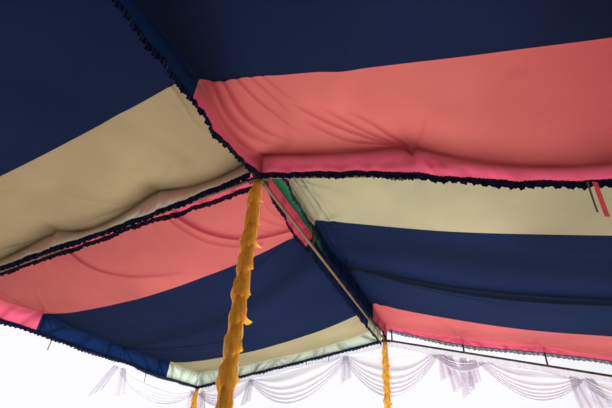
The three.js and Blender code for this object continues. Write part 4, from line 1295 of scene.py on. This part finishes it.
def swag_grid(start, end, floor, seed):
    """A swag between two gathered ends, in its own plane: nested parabolas from a shallow upper edge
    to a deep lower one, thrown forward in folds that run along it and close up at the ties."""
    s = np.linspace(0, 1, 64)[:, None]
    w = np.linspace(0, 1, 46)[None, :]
    rng = np.random.default_rng(seed)
    bow = 4 * s * (1 - s)
    low = 0.5 * (start[1] + end[1]) - floor
    top = start[1] + (end[1] - start[1]) * s
    z = top - bow * low * (0.04 + 0.96 * w**0.75) - 0.012 * (1 - bow) * w
    folds, phase = rng.uniform(4.5, 6.0), rng.uniform(0, 2 * math.pi)
    turn = 2 * math.pi * folds * w**1.6 + phase + 0.8 * np.sin(2 * math.pi * s + phase)
    out = (0.010 + 0.012 * bow**0.5) * np.sin(turn) * (0.35 + 0.65 * bow**0.4)
    z = z - 0.010 * np.cos(turn) * bow * w
    half = 0.5 * (end[0] - start[0])
    spread = 0.075 * (1 - 1.7 * w) * (1 - bow) ** 1.2 * np.sign(0.5 - s)
    along = start[0] + 2 * half * s + spread * np.sign(half)
    # Painted shade: dark lines in the folds' hollows, lilac shade at the gathered ends, where the weave also
    # closes, and a dark line along the lower hem
    gathered = np.clip(1 - bow / 0.65, 0, 1)
    line = np.clip(0.5 - 0.5 * np.sin(turn + 0.6), 0, 1) ** 3
    mark = np.maximum(line * (0.3 + 0.35 * w), gathered * (0.5 + 0.3 * np.sin(2 * turn)))
    mark = np.maximum(mark, 0.8 * np.exp(-((1 - w) / 0.02) ** 2))
    return along, out, z, np.clip(mark, 0, 1)


def tail_grid(place, top, drop, lean, seed):
    """A tail hanging from a tie: pleats across it, spreading and leaning towards its lower end."""
    t = np.linspace(0, 1, 30)[:, None]
    w = np.linspace(-1, 1, 40)[None, :]
    phase = np.random.default_rng(seed).uniform(0, 2 * math.pi)
    along = place + w * (0.04 + 0.045 * t**0.7) + 0.01 * np.sin(3 * t + phase) + lean * t
    turn = 2 * math.pi * 1.1 * w + phase
    out = 0.012 * (0.4 + 0.6 * t) * np.sin(turn)
    z = top - drop * t * (1 - 0.25 * (w + 1) / 2) - 0.006 * np.sin(turn) * t**2
    # Painted shade in the pleats' hollows, darkest at the gathered top and lighter down the tail. It also
    # closes the weave.
    mark = (0.5 - 0.5 * np.sin(turn)) * 0.25 + 0.75 - 0.4 * t
    return along, out, z, mark


def header_grid(start, end, head_of, drop, seed):
    """The header along the chord: a narrow gathered band, waved in and out by sines."""
    s = np.linspace(start, end, int(abs(end - start) / 0.012))[:, None]
    w = np.linspace(0, 1, 10)[None, :]
    phase = 2 * math.pi * s / 0.13 + 9 * wander(s, seed, [0.4, 0.23], 0.5)
    out = 0.005 * np.sin(phase) * (0.3 + 0.7 * w)
    z = head_of(s) - drop * w * (1 + wander(s, seed + 1, [0.8, 0.5, 0.3], 0.2))
    # Painted shade in the gathers' hollows, and a dark line along the lower hem
    mark = 0.22 + 0.12 * np.sin(phase) + 0.5 * np.exp(-((1 - w) / 0.06) ** 2)
    return s + 0 * w, out, z, mark


def hang(drape, place_of, along, out, z, mark):
    """Puts a hanging surface where it belongs, its cloth coordinates being its own two lengths."""
    x, y = place_of(along, out)
    drape.add(np.stack([x, y, z], axis=-1), np.stack([along, z], axis=-1), mark)


class TENT_OT_valances(bpy.types.Operator):
    """Adds the white swags, tails and headers on the gables and the eaves' ends"""
    bl_idname = "tent.valances"
    bl_label = "Valances"

    def execute(self, context):
        _, dyes = settings_of(context)
        veil = material_of("white_voile", sheer, tuple(dyes.white), tuple(dyes.white_shade_dye), 0.84, 0.45, 0.2)
        top = EAVE_HEIGHT + HEADER_RISE

        def gable_head(s):
            """Height of the gable header's top."""
            return lower_chord(s) + HEADER_RISE

        def eave_head(s):
            """Height of the eave header's top, the same all along."""
            return top + 0 * s

        for row, turn in (("far", 1), ("near", -1)):
            def on_gable(along, out):
                """Plan place on this gable."""
                return along, turn * (BAY + STANDOFF + out)

            drape = Surfaces()
            for side in (-1, 1):
                hang(drape, on_gable, *header_grid(0.0, side * GABLE_REACH, gable_head, HEADER, 61 + side))
            for n in range(len(SWAG_FLOORS)):
                ends = [(x, float(gable_head(x)) - HEADER) for x in GABLE_TIES[n:n + 2]]
                hang(drape, on_gable, *swag_grid(*ends, SWAG_FLOORS[n], 70 + n))
            for n, (x, drop, lean) in enumerate(GABLE_TAILS):
                top_of_tail = float(gable_head(x)) - HEADER + TAIL_TUCK
                hang(drape, on_gable, *tail_grid(x, top_of_tail, drop, lean, 80 + n))
            piece = drape.make(f"voile_gable_{row}", veil, [f"valance_gable_{row}"], "white_voile")
            for name, side in (("left", -1), ("right", 1)):
                def on_eave(along, out):
                    """Plan place on this eave, where the folds are flatter."""
                    return side * (HALF_WIDTH + EAVE_STANDOFF + 0.7 * out), turn * along

                drape = Surfaces()
                hang(drape, on_eave, *header_grid(*EAVE_HEADER, eave_head, HEADER, 90))
                ends = [(place, top - HEADER) for place in EAVE_SWAG]
                hang(drape, on_eave, *swag_grid(*ends, EAVE_SWAG_FLOOR, 91))
                for n, (place, drop, lean) in enumerate(EAVE_TAILS):
                    hang(drape, on_eave, *tail_grid(place, top - HEADER + TAIL_TUCK, drop, lean, 92 + n))
                piece = drape.make(f"voile_{name}_{row}", veil, [f"valance_{name}_{row}"], "white_voile")
        return {"FINISHED"}


# Loose tie ends below the far left sheet's hems: x, y, top and foot
LOOSE_ENDS = ((-1.85, 3.962, 3.06, 2.95), (-1.15, 3.962, 3.20, 3.08), (-0.83, 3.962, 3.26, 3.12),
              (-2.962, 2.75, 2.82, 2.64), (-2.962, 1.2, 2.82, 2.66))

# A tie ribbon's path from the cloth over the upper pipe: how far inside the pipe's centreline each
# point lies, and how high over the upper chord's centreline all but the first
TIE_AWAY = np.array([CREASE + 0.004, 0.030, 0.012, 0.0, -0.012, -0.016])
TIE_OVER = np.array([-0.006, 0.0125, 0.0150, 0.0115, -0.02])
# The two coloured ends on the near right trim: their dye, X, foot and width. They hang just inside
# it, from that far below the lower chord.
COLOURED_ENDS = {"red_ribbon": ("red", 1.826, 2.755, 0.025), "teal_ribbon": ("teal", 1.797, 2.785, 0.010)}
COLOURED_Y, COLOURED_DROP = -0.046, 0.09
# A loose end turns its width this way
LOOSE_ACROSS = (0.9, 0.436, 0.0)


class TENT_OT_ties(bpy.types.Operator):
    """Adds the ribbons that tie the ceiling sheets up to the beams, and their loose ends"""
    bl_idname = "tent.ties"
    bl_label = "Ties"

    def execute(self, context):
        sizes, dyes = settings_of(context)
        navies = (tuple(dyes.trim), tuple(dyes.trim_depth))
        satin_tie = material_of("navy_satin_tie", satin, *navies, 0.1, 0.3, 0.42)
        away = TIE_AWAY
        for name, spec in CEILINGS.items():
            side, bay = spec["side"], spec["bay"]
            ties = Surfaces()
            for where in ("middle", "gable", "ridge", "eave"):
                for place, _ in spec[where]["ties"][1:-1]:
                    if where in ("middle", "gable"):
                        a, b = place + 0 * away, away if where == "middle" else BAY - away
                        across = (1.0, 0.0, 0.0)
                    else:
                        b, a = place + 0 * away, away if where == "ridge" else HALF_WIDTH - away
                        across = (0.0, 1.0, 0.0)
                    cloth = float(sheet_rise(spec, a[:1], b[:1])[0][0])
                    lift = np.r_[cloth + 0.003, CHORD_GAP + TIE_OVER]
                    points = np.stack([side * a, bay * b, lower_chord(a) + lift], axis=-1)
                    ribbon(ties, points, sizes.ribbon_width, across)
            if name == "left_far":
                for n, (x, y, top, foot) in enumerate(LOOSE_ENDS):
                    self.loose(ties, x, y, top, foot, 0.009, 0.012 * (-1) ** n)
            ties.make(f"tie_ribbons_{name}", satin_tie, (), "lining")
        for name, (dyed, x, foot, width) in COLOURED_ENDS.items():
            end = Surfaces()
            self.loose(end, x, COLOURED_Y, lower_chord(x) - COLOURED_DROP, foot, width, -0.004)
            colour = tuple(getattr(dyes, dyed))
            finish = material_of(name, satin, colour, colour, 0.15, 0.3, 0.5)
            end.make(name, finish, (), "lining")
        return {"FINISHED"}

    @staticmethod
    def loose(surfaces, x, y, top, foot, width, sway):
        """A loose end hanging down from a tie, swaying sideways by a quarter wave and twisting."""
        t = np.linspace(0, 1, 5)
        aside, back = sway * np.sin(math.pi / 2 * t), 0.3 * sway * np.sin(5 * t)
        points = np.stack([x + aside, y + back, top + (foot - top) * t], axis=-1)
        ribbon(surfaces, points, width, LOOSE_ACROSS)


# Lashings: how many along an eave, how far from its ends they stop, and how far down the hem the
# eyelets sit, with their radius and the thickness of their rims and of the cords
LASHINGS, LASHING_INSET, EYELET_DROP = 9, 0.45, 0.045
EYELET_RADIUS, RIM, CORD = 0.010, 0.003, 0.005


class TENT_OT_lashings(bpy.types.Operator):
    """Adds the eyelets in the tarpaulin's hems and the cords that lash them to the eaves. A cord's
    path runs in through its eyelet, under the eave's upper pipe and up round it."""
    bl_idname = "tent.lashings"
    bl_label = "Lashings"

    def execute(self, context):
        brass = material_of("brass_eyelets", painted_steel, paint(BRASS), paint(DULL_BRASS), 0.7)
        rope = material_of("white_nylon_cord", satin, paint(NYLON), paint(NYLON_SHADE), 0.1, 0.3, 0.6)
        eyelets, cords = Surfaces(), Surfaces()
        edge_x, pipe_z = HALF_WIDTH + EAVE_OVERHANG, EAVE_HEIGHT + CHORD_GAP
        for side in (-1, 1):
            for y in np.linspace(-BAY + LASHING_INSET, BAY - LASHING_INSET, LASHINGS):
                hem = float(lower_chord(edge_x) + roof_rise(np.array(edge_x), np.array(y))) - EYELET_DROP
                hem_x = edge_x + float(hem_flutter(np.array(y))) * 0.9
                weld(eyelets, (side * (hem_x + 0.001), y, hem), (1, 0, 0), EYELET_RADIUS, RIM, 24)
                points = [(hem_x + 0.006, y, hem + 0.004), (hem_x + 0.004, y, hem - 0.008),
                          (hem_x - 0.02, y, hem - 0.02),
                          (HALF_WIDTH + 0.02, y, pipe_z - 0.018), (HALF_WIDTH, y, pipe_z - 0.018),
                          (HALF_WIDTH - 0.017, y, pipe_z), (HALF_WIDTH, y, pipe_z + 0.0165),
                          (HALF_WIDTH + 0.016, y + 0.008, pipe_z + 0.004)]
                points = np.array(points) * np.array([side, 1, 1])
                ribbon(cords, points, CORD, (0.0, 1.0, 0.0), CORD, 0.006)
        eyelets.make("brass_eyelets", brass, (), "tarpaulin")
        cords.make("lashing_cords", rope, (), "tarpaulin")
        return {"FINISHED"}


class TENT_PT_panel(bpy.types.Panel):
    """Lists the sizes, the colours and the pieces"""
    bl_idname = "TENT_PT_panel"
    bl_label = "Wedding Tent"
    bl_space_type = "VIEW_3D"
    bl_region_type = "UI"
    bl_category = "Tent"

    def draw(self, context):
        for group in settings_of(context):
            box = self.layout.box()
            for field in group.bl_rna.properties.keys():
                if field not in ("rna_type", "name"):
                    box.prop(group, field)
        for operator in OPERATORS:
            self.layout.operator(operator.bl_idname)


OPERATORS = (TENT_OT_stage, TENT_OT_posts, TENT_OT_beams, TENT_OT_ceilings, TENT_OT_tarpaulin, TENT_OT_wraps,
             TENT_OT_valances, TENT_OT_ties, TENT_OT_lashings)
CLASSES = (TentSizes, TentDyes) + OPERATORS + (TENT_PT_panel,)


def register():
    """Makes the classes and the scene's settings known."""
    for made in CLASSES:
        bpy.utils.register_class(made)
    bpy.types.Scene.tent_sizes = PointerProperty(type=TentSizes)
    bpy.types.Scene.tent_dyes = PointerProperty(type=TentDyes)


def unregister():
    """Takes them away again."""
    del bpy.types.Scene.tent_dyes
    del bpy.types.Scene.tent_sizes
    for made in reversed(CLASSES):
        bpy.utils.unregister_class(made)


def main():
    """Builds every piece in order."""
    register()
    for operator in OPERATORS:
        step = operator.bl_idname.split(".")[1]
        if getattr(bpy.ops.tent, step)() != {"FINISHED"}:
            raise RuntimeError(f"{operator.bl_label} wasn't made")


if __name__ == "__main__":
    main()
